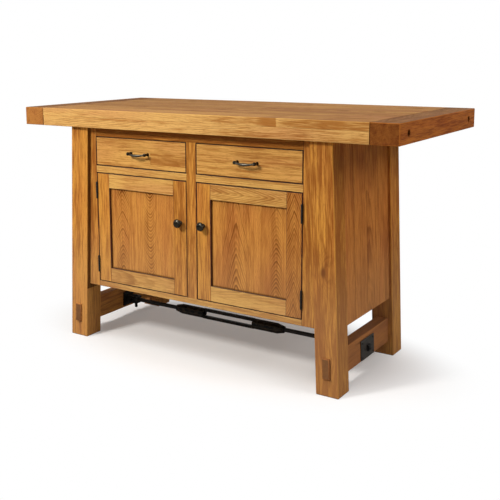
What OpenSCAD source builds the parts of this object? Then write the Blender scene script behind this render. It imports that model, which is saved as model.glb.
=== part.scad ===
// Kitchen island: a framed cupboard with two drawers and two doors between four splayed legs,
// under a heavy breadboard worktop, with a turnbuckle tie rod between the end stretchers.
// Millimetres. The origin is on the floor under the middle of the worktop, and the front faces -Y.

/* [Worktop] */
// Height of the worktop's upper face above the floor
total_height = 914; // [860:1:960]
// Length of the worktop, left to right
top_length = 1567; // [1420:1:1900]
// Depth of the worktop, front to rear
top_depth = 734; // [660:1:900]
// Thickness of the worktop at its edges
top_thickness = 69; // [60:1:80]
// Thickness of the upper boards
board_thickness = 30; // [24:1:36]
// Number of upper boards
board_count = 6; // [4:1:9]
// Depth of the strips that thicken the front and rear edges
edge_strip_depth = 100; // [90:1:130]
// Width of the breadboard ends
breadboard_width = 97; // [80:1:120]
// Length of the tongues that enter the breadboard ends
tongue_length = 15; // [8:1:25]
// Thickness of the tongues that enter the breadboard ends
tongue_thickness = 12; // [8:1:16]
// Distance from the groove's end to the worktop's front and rear edges
tongue_stop = 22; // [10:1:40]
// Width of the battens under the boards, over the legs
batten_width = 130; // [110:1:150]

/* [Breadboard bolts] */
// Distance of a bolt from the worktop's front or rear edge
bolt_inset = 72; // [60:1:85]
// Diameter of the recess for a bolt head
bolt_recess_d = 23; // [20:0.5:28]
// Depth of the recess for a bolt head
bolt_recess_depth = 20; // [14:1:40]
// Diameter of a bolt head
bolt_head_d = 19; // [16:0.5:19.5]
// Thickness of a bolt head
bolt_head_h = 7; // [5:0.5:9]
// Diameter of a bolt shank
bolt_d = 8; // [5:0.5:8]
// Depth that a bolt reaches into the edge strip
bolt_reach = 60; // [30:1:120]

/* [Legs and end frames] */
// Distance from the worktop's end in to the outer face of a foot
end_overhang = 190; // [160:1:240]
// Distance between the front and rear faces of an end frame
frame_depth = 552; // [500:1:590]
// Distance from the worktop's front edge back to the front legs
front_overhang = 21; // [10:1:50]
// Width of a leg, left to right
leg_width = 83; // [75:1:95]
// Depth of a leg, front to rear
leg_depth = 82; // [70:1:95]
// Outward lean of the legs in degrees
splay_angle = 2.53; // [1:0.01:3.5]
// Height of an end stretcher
stretcher_height = 91; // [82:1:110]
// Thickness of an end stretcher
stretcher_thickness = 44; // [34:1:50]
// Height of the middle of an end stretcher above the floor
stretcher_level = 97; // [75:1:130]
// Height of the through tenons
tenon_height = 70; // [50:1:76]
// Thickness of the through tenons
tenon_thickness = 26; // [18:1:30]
// Length of the tenon that stands out of the leg
tenon_proud = 8; // [3:1:14]
// Thickness of the side boards
side_board_thickness = 20; // [14:1:24]
// Distance from the leg's outer face in to the side boards
side_board_recess = 12; // [6:1:20]
// Number of boards in each side
side_board_count = 4; // [3:1:6]
// Depth of the grooves in the legs that hold the side boards
side_groove_depth = 8; // [5:1:12]
// Length of the tongues between two side boards
side_tongue = 6; // [4:1:8]

/* [Face frame] */
// Height of the underside of the cupboard above the floor
cabinet_bottom = 219; // [190:1:260]
// Distance from the leg faces back to the face frame
face_setback = 16; // [8:1:24]
// Thickness of the face frame
face_thickness = 22; // [20:1:26]
// Width of the outer stiles at their narrow upper end
stile_top_width = 27; // [22:1:45]
// Width of the centre upright between the doors
mullion_width = 41.7; // [34:0.1:60]
// Height of the top rail
top_rail_height = 34.2; // [26:0.1:50]
// Height of the rail between drawers and doors
middle_rail_height = 27.4; // [22:0.1:40]
// Height of the bottom rail
bottom_rail_height = 21.7; // [20:0.1:40]
// Height of the drawer openings
drawer_opening_height = 112; // [105:1:160]
// Length of the tenons on the rails
rail_tenon_length = 12; // [8:1:16]
// Thickness of the tenons on the rails
rail_tenon_thickness = 8; // [6:1:10]
// Step between a tenon and the edge of its rail
rail_shoulder = 5; // [3:0.5:6]
// Gap around each drawer front and door
front_gap = 2.5; // [2:0.1:4]

/* [Case] */
// Thickness of the case sides
case_side_thickness = 16; // [12:1:18]
// Thickness of the case floor
floor_thickness = 18; // [14:1:20]
// Thickness of the centre partition
partition_thickness = 18; // [18:1:24]
// Thickness of a shelf
shelf_thickness = 18; // [14:1:24]
// Height of a shelf's upper face above the floor
shelf_level = 456; // [380:1:540]
// Distance from the face frame back to a shelf's front edge
shelf_setback = 24; // [18:1:60]
// Play at each end of a shelf
shelf_play = 0.8; // [0.4:0.1:2]
// Diameter of a shelf peg
peg_d = 7; // [5:0.5:8]
// Depth of a shelf peg in its hole
peg_depth = 8; // [5:0.5:8]
// Length of a shelf peg under the shelf
peg_reach = 12; // [8:1:20]
// Distance from a shelf's edge to the nearer pegs
peg_inset = 50; // [30:1:90]
// Width of the rails of the back
back_rail_width = 60; // [45:1:80]
// Width that the back stiles reach inside the case sides
back_stile_reach = 34; // [24:1:60]
// Thickness of the back panels
back_panel_thickness = 8; // [6:1:9]

/* [Drawers] */
// Thickness of a drawer front
drawer_front_thickness = 20; // [16:1:22]
// Thickness of the drawer sides
drawer_side_thickness = 12; // [10:1:14]
// Thickness of a drawer bottom
drawer_bottom_thickness = 6; // [4:1:8]
// Height of a drawer box
drawer_box_height = 86; // [70:1:92]
// Height of the drawer bottom above the sides' lower edges
drawer_bottom_rise = 10; // [8:1:14]
// Depth of the grooves and housings in a drawer box
drawer_groove = 4; // [3:0.5:6]
// Space behind the closed drawer
drawer_back_space = 26; // [20:1:60]

/* [Drawer slides] */
// Height of a drawer slide
slide_height = 45; // [35:1:46]
// Thickness of a closed drawer slide
slide_thickness = 12.7; // [11:0.1:15]
// Thickness of the steel of a drawer slide
slide_sheet = 1.2; // [1:0.1:1.5]
// Running gap between the members of a drawer slide
slide_gap = 0.3; // [0.2:0.05:0.4]
// Distance from the face frame back to the drawer slides
slide_setback = 1; // [0.5:0.5:3]

/* [Doors] */
// Thickness of a door
door_thickness = 22; // [18:1:22]
// Width of the door stiles
door_stile_width = 58; // [44:1:75]
// Width of the door rails
door_rail_width = 56; // [44:1:75]
// Depth of the step from the door frame back to its panel
panel_recess = 9; // [5:0.5:10]
// Thickness of a door panel
panel_thickness = 6; // [4:0.5:7]
// Depth of the grooves that hold a panel
panel_groove = 9; // [6:0.5:12]
// Play between a panel and the bottom of its groove
panel_play = 0.6; // [0.4:0.1:0.9]
// Distance that a door catch stands out from the partition
catch_reach = 32; // [24:1:45]
// Depth of a door catch, front to rear
catch_depth = 16; // [10:1:24]
// Height of a door catch
catch_height = 40; // [25:1:60]

/* [Hinges] */
// Height of a hinge
hinge_height = 60; // [45:1:80]
// Distance from a door's end to the middle of the nearer hinge
hinge_inset = 67; // [50:1:100]
// Diameter of a hinge knuckle
knuckle_d = 7.5; // [6:0.5:11]
// Number of knuckles in a hinge
knuckle_count = 5; // [3:2:7]
// Gap between a knuckle and the faces of the door and its frame
knuckle_gap = 0.2; // [0.1:0.1:0.6]
// Diameter of a hinge pin
pin_d = 3.5; // [2.5:0.5:5]
// Thickness of a hinge leaf
leaf_thickness = 0.9; // [0.7:0.05:0.95]
// Depth of a hinge leaf behind the face
leaf_depth = 18; // [14:1:21]
// Diameter of the round heads of a hinge pin
pin_head_d = 6; // [5:0.1:9]
// Height of the round heads of a hinge pin
pin_head_h = 2.5; // [1.5:0.5:4]

/* [Knobs and pulls] */
// Diameter of a knob
knob_d = 33; // [24:1:38]
// Distance that a knob stands out
knob_reach = 29; // [22:1:34]
// Diameter of a knob's base
knob_base_d = 16; // [13:1:20]
// Thickness of a knob's base
knob_base_h = 3; // [2:0.5:5]
// Diameter of a knob's neck
knob_neck_d = 9.6; // [8:0.2:14]
// Depth of a knob's head, from its face to its back edge
knob_head_h = 13; // [9:1:15]
// Radius of the sphere that a knob's head is cut from
knob_dome_r = 19.2; // [17:0.2:22]
// Depth of the screw in a knob
knob_screw_bite = 12; // [8:1:16]
// Distance from the door's free edge to the knob
knob_inset = 27; // [21:1:40]
// Height of the knobs above the middle of the door
knob_rise = 60; // [-120:1:140]
// Distance between the posts of a pull
pull_span = 78; // [64:1:128]
// Distance that a pull stands out
pull_reach = 30; // [26:1:40]
// Diameter of a pull's bar
pull_bar_d = 9; // [7:0.5:11]
// Distance that the middle of the bar stands out beyond its ends
pull_bow = 6; // [3:0.5:9]
// Diameter of a pull's posts
pull_post_d = 11; // [9:0.5:14]
// Diameter of the balls at the ends of a pull's posts
pull_ball_d = 13; // [12:0.5:16]
// Diameter of the screws that hold knobs and pulls
screw_d = 4; // [3:0.5:5]
// Diameter of those screws' heads
screw_head_d = 8; // [7:0.5:10]
// Thickness of those screws' heads
screw_head = 3; // [2:0.5:4]
// Metal between a screw's end and the middle of the ball on its post
post_wall = 7; // [5:0.5:8]

/* [Tie rod] */
// Height of the tie rod above the floor
tie_level = 91; // [80:1:110]
// Diameter of the tie rods
rod_d = 16; // [12:1:18]
// Distance from an anchor's pin to the stretcher
anchor_reach = 46; // [40:1:70]
// Thickness of a rod's eye
eye_thickness = 12; // [8:1:14]
// Diameter of a rod's eye
eye_d = 32; // [28:1:38]
// Gap between a rod's eye and the bottom of the fork's slot
fork_throat = 1.5; // [1:0.5:4]
// Distance that the fork stands out beside the eye
fork_side = 1; // [0.5:0.5:4]
// Distance from the fork's mouth to the round part of the rod
eye_neck = 2; // [1:0.5:6]
// Width and height of the fork's plate on the stretcher
fork_plate_size = 60; // [45:1:80]
// Thickness of the fork's plate
fork_plate_thickness = 6; // [4:0.5:8]
// Thickness of each fork cheek
fork_cheek = 8; // [6:1:12]
// Diameter of a fork pin
fork_pin_d = 12; // [8:1:14]
// Length of a fork pin below its fork
fork_pin_tail = 20; // [5:1:30]
// Diameter of a fork pin's head
fork_pin_head_d = 18; // [15:1:22]
// Thickness of a fork pin's head
fork_pin_head_h = 5; // [3:0.5:7]
// Width of the outer plates
plate_width = 110; // [80:1:124]
// Height of the outer plates
plate_height = 72; // [56:1:80]
// Thickness of the outer plates
plate_thickness = 4; // [3:0.5:6]
// Width of the square nuts
nut_width = 22; // [20:1:30]
// Thickness of the square nuts
nut_thickness = 9; // [7:1:14]
// Length of an anchor bolt that stands out of its nut
bolt_proud = 3; // [2:1:10]
// Diameter of the nail heads
nail_head_d = 8; // [6:0.5:10]
// Thickness of the nail heads
nail_head_h = 2.5; // [1.5:0.5:4]
// Diameter of the nails
nail_shank_d = 3; // [2:0.5:4]
// Length of the nails under their heads
nail_length = 22; // [12:1:30]
// Distance from a nail to the plate's edges
nail_inset = 10; // [8:1:14]

/* [Turnbuckle] */
// Length of the turnbuckle
turnbuckle_length = 500; // [380:1:620]
// Diameter of the turnbuckle
turnbuckle_d = 41; // [36:1:50]
// Diameter of the turnbuckle's ends
turnbuckle_end_d = 27; // [24:1:34]
// Length of the tapered ends
turnbuckle_taper = 28; // [15:1:45]
// Length of the open middle
slot_length = 232; // [150:1:280]
// Height of the open middle
slot_height = 18; // [12:1:20]
// Width of the two bars beside the open middle
bar_width = 14; // [12:1:28]
// Distance from the open middle to the end of each rod
rod_inset = 12; // [4:1:30]
// Distance of the turnbuckle's middle from the island's, to the left
turnbuckle_shift = 12; // [0:1:30]

/* [Clearances] */
// Gap around wooden tenons and tongues
wood_fit = 0.1; // [0.05:0.05:0.2]
// Radial gap between a turning part and its pin or rod
running_fit = 0.06; // [0.03:0.01:0.1]
// Radial gap around fixed bolts, screws and pegs
bolt_fit = 0.15; // [0.1:0.05:0.3]
// Gap beside turning faces
axial_fit = 0.2; // [0.1:0.05:0.4]
// Hairline between neighbouring boards
board_gap = 0.5; // [0.3:0.1:0.8]

/* [Hidden] */
$fn = 48;

left = -1;
right = 1;
beyond = 1;
honey = [0.80, 0.58, 0.32];
amber = [0.72, 0.48, 0.24];
umber = [0.50, 0.30, 0.16];
iron = [0.13, 0.13, 0.13];
pewter = [0.36, 0.35, 0.33];
zinc = [0.70, 0.71, 0.72];

// Levels
leg_top = total_height - top_thickness;
boards_bottom = total_height - board_thickness;
top_rail_bottom = leg_top - top_rail_height;
drawer_floor = top_rail_bottom - drawer_opening_height;
door_head = drawer_floor - middle_rail_height;
door_sill = cabinet_bottom + bottom_rail_height;
bolt_level = (leg_top + total_height) / 2;
tongue_level = total_height - board_thickness / 2;

// Depths
leg_front_y = -top_depth / 2 + front_overhang;
leg_rear_y = leg_front_y + frame_depth;
frame_y = (leg_front_y + leg_rear_y) / 2;
face_y = leg_front_y + face_setback;
case_front_y = face_y + face_thickness;
back_y = leg_rear_y - face_setback;
case_rear_y = back_y - face_thickness;
face_middle_y = face_y + face_thickness / 2;

// Widths
breadboard_x = top_length / 2 - breadboard_width;
lean = tan(splay_angle);
function leg_outer_x(z) = top_length / 2 - end_overhang - lean * z;
function leg_inner_x(z) = leg_outer_x(z) - leg_width;
opening_outer = leg_inner_x(leg_top) - stile_top_width;
opening_inner = mullion_width / 2;
opening_middle = (opening_outer + opening_inner) / 2;
opening_width = opening_outer - opening_inner;
stretcher_out = (leg_width - stretcher_thickness) / 2;
tenon_out = (leg_width - tenon_thickness) / 2;

// A block between two corners, each argument the two ends on that axis
module block(x, y, z) {
    translate([x[0], y[0], z[0]])
        cube([x[1] - x[0], y[1] - y[0], z[1] - z[0]]);
}

// A flat outline of x and z points, filled from y[0] to y[1]
module slab(points, y) {
    translate([0, y[1], 0])
        rotate([90, 0, 0])
            linear_extrude(y[1] - y[0])
                polygon(points);
}

// A piece of the right end frame, which leans with the leg: out is how far its two sides lie
// in from the leg's outer face
module leaning(out, y, z) {
    slab([
        [leg_outer_x(z[0]) - out[0], z[0]],
        [leg_outer_x(z[0]) - out[1], z[0]],
        [leg_outer_x(z[1]) - out[1], z[1]],
        [leg_outer_x(z[1]) - out[0], z[1]]
    ], y);
}

// A round bar along x, y or z, from one end to the other
module bar_x(r, x, y, z) {
    translate([x[0], y, z]) rotate([0, 90, 0]) cylinder(r = r, h = x[1] - x[0]);
}
module bar_y(r, x, y, z) {
    translate([x, y[1], z]) rotate([90, 0, 0]) cylinder(r = r, h = y[1] - y[0]);
}
module bar_z(r, x, y, z) {
    translate([x, y, z[0]]) cylinder(r = r, h = z[1] - z[0]);
}

// What is drawn for the right is mirrored for the left
module on_side(side) {
    if (side < 0) mirror([1, 0, 0]) children();
    else children();
}

// Worktop

groove_end = top_depth / 2 - tongue_stop;
board_pitch = top_depth / board_count;

module top_boards() color(honey) {
    half = tongue_thickness / 2;
    for (i = [0 : board_count - 1]) {
        edge = -top_depth / 2 + i * board_pitch;
        y0 = edge + (i > 0 ? board_gap / 2 : 0);
        y1 = edge + board_pitch - (i < board_count - 1 ? board_gap / 2 : 0);
        union() {
            block([-breadboard_x, breadboard_x], [y0, y1], [boards_bottom, total_height]);
            block([-breadboard_x - tongue_length, breadboard_x + tongue_length],
                [max(y0, -groove_end), min(y1, groove_end)], [tongue_level - half, tongue_level + half]);
        }
    }
}

bolt_y = top_depth / 2 - bolt_inset;

module edge_strip(front) color(honey) {
    outer = top_depth / 2;
    inner = outer - edge_strip_depth;
    hole_r = bolt_d / 2 + bolt_fit;
    mirror([0, front ? 0 : 1, 0]) difference() {
        block([-breadboard_x, breadboard_x], [-outer, -inner], [leg_top, boards_bottom]);
        for (side = [left, right]) on_side(side)
            bar_x(hole_r, [breadboard_x - bolt_reach, breadboard_x + beyond], -bolt_y, bolt_level);
    }
}

// The battens lie over the legs and the side boards
module top_batten(side) color(amber) on_side(side) {
    middle = leg_outer_x(leg_top) - leg_width / 2;
    inner = top_depth / 2 - edge_strip_depth;
    block([middle - batten_width / 2, middle + batten_width / 2], [-inner, inner], [leg_top, boards_bottom]);
}

module breadboard(side) color(umber) on_side(side) {
    half = tongue_thickness / 2 + wood_fit;
    end = groove_end + wood_fit;
    difference() {
        block([breadboard_x, top_length / 2], [-top_depth / 2, top_depth / 2], [leg_top, total_height]);
        block([breadboard_x - beyond, breadboard_x + tongue_length + wood_fit],
            [-end, end], [tongue_level - half, tongue_level + half]);
        for (y = [-bolt_y, bolt_y]) {
            bar_x(bolt_d / 2 + bolt_fit, [breadboard_x - beyond, top_length / 2], y, bolt_level);
            bar_x(bolt_recess_d / 2, [top_length / 2 - bolt_recess_depth, top_length / 2 + beyond], y, bolt_level);
        }
    }
}

// End frames

leg_front_inner_y = leg_front_y + leg_depth;
leg_rear_inner_y = leg_rear_y - leg_depth;
stretcher_z = [stretcher_level - stretcher_height / 2, stretcher_level + stretcher_height / 2];
tenon_z = [stretcher_level - tenon_height / 2, stretcher_level + tenon_height / 2];

module leg(side, front) color(honey) on_side(side) {
    y = front ? [leg_front_y, leg_front_inner_y] : [leg_rear_inner_y, leg_rear_y];
    groove_y = front ? leg_front_inner_y - side_groove_depth - wood_fit : leg_rear_inner_y - beyond;
    groove_width = side_groove_depth + wood_fit + beyond;
    difference() {
        leaning([0, leg_width], y, [0, leg_top]);
        leaning([tenon_out - wood_fit, tenon_out + tenon_thickness + wood_fit],
            [y[0] - beyond, y[1] + beyond], [tenon_z[0] - wood_fit, tenon_z[1] + wood_fit]);
        leaning([side_board_recess - wood_fit, side_board_recess + side_board_thickness + wood_fit],
            [groove_y, groove_y + groove_width], [cabinet_bottom - wood_fit, leg_top + beyond]);
    }
}

module side_stretcher(side) color(amber) on_side(side) {
    difference() {
        union() {
            leaning([stretcher_out, stretcher_out + stretcher_thickness],
                [leg_front_inner_y, leg_rear_inner_y], stretcher_z);
            leaning([tenon_out, tenon_out + tenon_thickness],
                [leg_front_y - tenon_proud, leg_rear_y + tenon_proud], tenon_z);
        }
        bar_x(rod_d / 2 + bolt_fit, [0, leg_outer_x(0)], frame_y, tie_level);
        nail_places() bar_x(nail_shank_d / 2 + bolt_fit, [-nail_length - bolt_fit, beyond], 0, 0);
    }
}

side_y0 = leg_front_inner_y - side_groove_depth;
side_y1 = leg_rear_inner_y + side_groove_depth;
side_pitch = (side_y1 - side_y0) / side_board_count;

// The boards of a side: each has a tongue on its rear edge and a groove in its front edge
module side_boards(side) color(amber) on_side(side) {
    third = side_board_thickness / 3;
    z = [cabinet_bottom, leg_top];
    for (i = [0 : side_board_count - 1]) {
        y0 = side_y0 + i * side_pitch + (i > 0 ? board_gap / 2 : 0);
        y1 = side_y0 + (i + 1) * side_pitch - (i < side_board_count - 1 ? board_gap / 2 : 0);
        difference() {
            union() {
                leaning([side_board_recess, side_board_recess + side_board_thickness], [y0, y1], z);
                if (i < side_board_count - 1)
                    leaning([side_board_recess + third, side_board_recess + 2 * third],
                        [y1 - beyond, y1 + side_tongue], z);
            }
            if (i > 0)
                leaning([side_board_recess + third - wood_fit, side_board_recess + 2 * third + wood_fit],
                    [y0 - beyond, y0 + side_tongue + wood_fit], [z[0] - beyond, z[1] + beyond]);
        }
    }
}

// Face frame

// A rail with a tenon at each end
module rail(x, y, z, tenon) {
    middle = (y[0] + y[1]) / 2;
    half = rail_tenon_thickness / 2;
    union() {
        block(x, y, z);
        block([x[0] - tenon, x[1] + tenon], [middle - half, middle + half],
            [z[0] + rail_shoulder, z[1] - rail_shoulder]);
    }
}

// The hole for the tenons of such a rail
module rail_mortise(x, y, z, tenon) {
    middle = (y[0] + y[1]) / 2;
    half = rail_tenon_thickness / 2 + wood_fit;
    reach = tenon + wood_fit;
    block([x[0] - reach, x[1] + reach], [middle - half, middle + half],
        [z[0] + rail_shoulder - wood_fit, z[1] - rail_shoulder + wood_fit]);
}

face_span_y = [face_y, case_front_y];
top_rail_z = [top_rail_bottom, leg_top];
middle_rail_z = [door_head, drawer_floor];
bottom_rail_z = [cabinet_bottom, door_sill];
full_rail_x = [-opening_outer, opening_outer];
side_rail_x = [opening_inner, opening_outer];
mullion_tenon = [rail_shoulder - opening_inner, opening_inner - rail_shoulder];

module face_stile(side) color(honey) on_side(side) difference() {
    slab([
        [opening_outer, cabinet_bottom],
        [leg_inner_x(cabinet_bottom), cabinet_bottom],
        [leg_inner_x(leg_top), leg_top],
        [opening_outer, leg_top]
    ], face_span_y);
    rail_mortise(full_rail_x, face_span_y, top_rail_z, rail_tenon_length);
    rail_mortise(side_rail_x, face_span_y, middle_rail_z, rail_tenon_length);
    rail_mortise(full_rail_x, face_span_y, bottom_rail_z, rail_tenon_length);
}

module face_mullion() color(honey) {
    half = rail_tenon_thickness / 2;
    difference() {
        union() {
            block([-opening_inner, opening_inner], face_span_y, [door_sill, top_rail_bottom]);
            block(mullion_tenon, [face_middle_y - half, face_middle_y + half],
                [door_sill - rail_tenon_length, top_rail_bottom + rail_tenon_length]);
        }
        for (side = [left, right]) on_side(side)
            rail_mortise(side_rail_x, face_span_y, middle_rail_z, rail_tenon_length);
    }
}

// The holes for the centre upright's tenons
module mullion_mortises() {
    half = rail_tenon_thickness / 2 + wood_fit;
    reach = rail_tenon_length + wood_fit;
    block([mullion_tenon[0] - wood_fit, mullion_tenon[1] + wood_fit],
        [face_middle_y - half, face_middle_y + half], [door_sill - reach, top_rail_bottom + reach]);
}

module face_top_rail() color(honey) difference() {
    rail(full_rail_x, face_span_y, top_rail_z, rail_tenon_length);
    mullion_mortises();
}

module face_middle_rails() color(honey)
    for (side = [left, right]) on_side(side)
        rail(side_rail_x, face_span_y, middle_rail_z, rail_tenon_length);

module face_bottom_rail() color(honey) difference() {
    rail(full_rail_x, face_span_y, bottom_rail_z, rail_tenon_length);
    mullion_mortises();
}

// Back: a fixed frame with two panels, between the rear legs

back_span_y = [case_rear_y, back_y];
back_stile_x = opening_outer - back_stile_reach;
back_centre_x = back_rail_width / 2;
back_sill = cabinet_bottom + back_rail_width;
back_head = leg_top - back_rail_width;
back_groove = [
    (case_rear_y + back_y - back_panel_thickness) / 2,
    (case_rear_y + back_y + back_panel_thickness) / 2
];

// The space that a back panel fills, grown by a margin
module back_panel_space(margin) {
    block([back_centre_x - panel_groove - margin, back_stile_x + panel_groove + margin],
        [back_groove[0] - min(margin, wood_fit), back_groove[1] + min(margin, wood_fit)],
        [back_sill - panel_groove - margin, back_head + panel_groove + margin]);
}

// A rail of the back with a tongue at each end, as thick as the panel's groove
module back_rail(x, z) {
    union() {
        block(x, back_span_y, z);
        block([x[0] - panel_groove, x[1] + panel_groove], back_groove, [z[0] + rail_shoulder, z[1] - rail_shoulder]);
    }
}

// The holes for those tongues
module back_rail_mortise(x, z) {
    reach = panel_groove + wood_fit;
    block([x[0] - reach, x[1] + reach], [back_groove[0] - wood_fit, back_groove[1] + wood_fit],
        [z[0] + rail_shoulder - wood_fit, z[1] - rail_shoulder + wood_fit]);
}

module back_frame() color(amber) {
    rail_x = [back_centre_x + wood_fit, back_stile_x - wood_fit];
    sill_z = [cabinet_bottom, back_sill];
    head_z = [back_head, leg_top];
    for (side = [left, right]) on_side(side) {
        difference() {
            slab([
                [back_stile_x, cabinet_bottom],
                [leg_inner_x(cabinet_bottom), cabinet_bottom],
                [leg_inner_x(leg_top), leg_top],
                [back_stile_x, leg_top]
            ], back_span_y);
            back_panel_space(panel_play);
            back_rail_mortise(rail_x, sill_z);
            back_rail_mortise(rail_x, head_z);
        }
        for (z = [sill_z, head_z]) difference() {
            back_rail(rail_x, z);
            back_panel_space(panel_play);
        }
    }
    difference() {
        block([-back_centre_x, back_centre_x], back_span_y, [cabinet_bottom, leg_top]);
        for (side = [left, right]) on_side(side) {
            back_panel_space(panel_play);
            back_rail_mortise(rail_x, sill_z);
            back_rail_mortise(rail_x, head_z);
        }
    }
}

module back_panels() color(amber)
    for (side = [left, right]) on_side(side) back_panel_space(0);

// Case

case_outer_x = opening_outer + case_side_thickness;
partition_x = partition_thickness / 2;
shelf_bottom = shelf_level - shelf_thickness;
shelf_y = [case_front_y + shelf_setback, case_rear_y - shelf_play];
peg_level = shelf_bottom - peg_d / 2;

// The holes for the pegs in the two walls of the right cupboard
module peg_holes() {
    for (y = [shelf_y[0] + peg_inset, shelf_y[1] - peg_inset]) {
        bar_x(peg_d / 2 + bolt_fit, [opening_outer - beyond, opening_outer + peg_depth + bolt_fit], y, peg_level);
        bar_x(peg_d / 2 + bolt_fit, [partition_x - peg_depth - bolt_fit, partition_x + beyond], y, peg_level);
    }
}

module case_side(side) color(amber) on_side(side) difference() {
    block([opening_outer, case_outer_x], [case_front_y, case_rear_y], [door_sill, leg_top]);
    peg_holes();
}

// The floor reaches out between the legs to the side boards
module case_floor() color(amber) {
    z = [door_sill - floor_thickness, door_sill];
    board_inner = side_board_recess + side_board_thickness;
    union() {
        block([-case_outer_x, case_outer_x], [case_front_y, case_rear_y], z);
        for (side = [left, right]) on_side(side) slab([
            [0, z[0]],
            [leg_outer_x(z[0]) - board_inner, z[0]],
            [leg_outer_x(z[1]) - board_inner, z[1]],
            [0, z[1]]
        ], [leg_front_inner_y, leg_rear_inner_y]);
    }
}

module centre_partition() color(amber) difference() {
    block([-partition_x, partition_x], [case_front_y, case_rear_y], [door_sill, leg_top]);
    for (side = [left, right]) on_side(side) peg_holes();
}

module shelves() color(amber)
    for (side = [left, right]) on_side(side)
        block([partition_x + shelf_play, opening_outer - shelf_play], shelf_y, [shelf_bottom, shelf_level]);

module shelf_pegs() color(zinc)
    for (side = [left, right], y = [shelf_y[0] + peg_inset, shelf_y[1] - peg_inset]) on_side(side) {
        bar_x(peg_d / 2, [opening_outer - peg_reach, opening_outer + peg_depth], y, peg_level);
        bar_x(peg_d / 2, [partition_x - peg_depth, partition_x + peg_reach], y, peg_level);
    }

// Drawer slides: three nested steel channels on each side of a drawer

slide_length = case_rear_y - case_front_y - drawer_back_space;
slide_y = [case_front_y + slide_setback, case_front_y + slide_length];
drawer_box_z0 = (drawer_floor + top_rail_bottom - drawer_box_height) / 2;
slide_level = drawer_box_z0 + drawer_box_height / 2;

module slide_spacers() color(amber)
    for (side = [left, right]) on_side(side)
        block([partition_x, opening_inner], slide_y,
            [slide_level - slide_height / 2 - rail_shoulder, slide_level + slide_height / 2 + rail_shoulder]);

// A channel with its web between two distances from the wall, and its flanges up to reach;
// it is drawn at both walls of the right drawer opening
module slide_channel(web, reach, half_height) {
    low = min(web[0], reach);
    high = max(web[1], reach);
    inside = half_height - slide_sheet;
    hollow = reach > web[1] ? [web[1], high + beyond] : [low - beyond, web[0]];
    for (wall = [opening_inner, opening_outer]) {
        away = wall == opening_inner ? 1 : -1;
        difference() {
            block([min(wall + away * low, wall + away * high), max(wall + away * low, wall + away * high)],
                slide_y, [slide_level - half_height, slide_level + half_height]);
            block([min(wall + away * hollow[0], wall + away * hollow[1]),
                max(wall + away * hollow[0], wall + away * hollow[1])],
                [slide_y[0] - beyond, slide_y[1] + beyond], [slide_level - inside, slide_level + inside]);
        }
    }
}

slide_reach = slide_thickness - slide_sheet - slide_gap;
step = slide_sheet + slide_gap;

module slide_rails() color(zinc)
    for (side = [left, right]) on_side(side)
        slide_channel([0, slide_sheet], slide_reach, slide_height / 2);

module slide_middles(side) color(zinc) on_side(side)
    slide_channel([step, step + slide_sheet], slide_reach, slide_height / 2 - step);

module drawer_runners(side) color(zinc) on_side(side)
    slide_channel([slide_thickness - slide_sheet, slide_thickness], 2 * step, slide_height / 2 - 2 * step);

// Drawers

drawer_x = [opening_inner + slide_thickness, opening_outer - slide_thickness];
drawer_box_y = [face_y + drawer_front_thickness, case_front_y + slide_length];
drawer_z = [drawer_box_z0, drawer_box_z0 + drawer_box_height];
pull_level = (drawer_floor + top_rail_bottom) / 2;
pull_x = [opening_middle - pull_span / 2, opening_middle + pull_span / 2];

module drawer_front(side) color(honey) on_side(side) difference() {
    block([opening_inner + front_gap, opening_outer - front_gap], [face_y, face_y + drawer_front_thickness],
        [drawer_floor + front_gap, top_rail_bottom - front_gap]);
    for (x = pull_x)
        bar_y(screw_d / 2 + bolt_fit, x, [face_y - beyond, drawer_box_y[0] + beyond], pull_level);
}

// The bottom's edges lie in grooves
module drawer_bottom_space(margin) {
    into = drawer_side_thickness - drawer_groove - margin;
    block([drawer_x[0] + into, drawer_x[1] - into], [drawer_box_y[0] + into, drawer_box_y[1] - into],
        [drawer_z[0] + drawer_bottom_rise - margin,
        drawer_z[0] + drawer_bottom_rise + drawer_bottom_thickness + margin]);
}

// The inner front and the back of a drawer box, whose ends lie in housings in the sides
module drawer_cross(end, margin) {
    into = drawer_side_thickness - drawer_groove - margin;
    y = end == 0
        ? [drawer_box_y[0] - margin, drawer_box_y[0] + drawer_side_thickness + margin]
        : [drawer_box_y[1] - drawer_side_thickness - margin, drawer_box_y[1] + margin];
    block([drawer_x[0] + into, drawer_x[1] - into], y, [drawer_z[0] - margin, drawer_z[1] + margin]);
}

module drawer_box(side) color(honey) on_side(side) {
    for (x = [drawer_x[0], drawer_x[1] - drawer_side_thickness]) difference() {
        block([x, x + drawer_side_thickness], drawer_box_y, drawer_z);
        drawer_cross(0, wood_fit);
        drawer_cross(1, wood_fit);
        drawer_bottom_space(wood_fit);
    }
    for (end = [0, 1]) difference() {
        drawer_cross(end, 0);
        drawer_bottom_space(wood_fit);
        if (end == 0)
            for (x = pull_x)
                bar_y(screw_d / 2 + bolt_fit, x, [drawer_box_y[0] - beyond, drawer_box_y[1]], pull_level);
    }
    drawer_bottom_space(0);
}

// A bowed round bar between two posts with ball ends, held by two screws from inside the drawer
pull_post = pull_reach - pull_bow - pull_bar_d / 2;
pull_radius = (pow(pull_span / 2, 2) + pow(pull_bow, 2)) / (2 * pull_bow);
pull_half_angle = asin(pull_span / 2 / pull_radius);
screw_bite = pull_post - post_wall;

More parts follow.
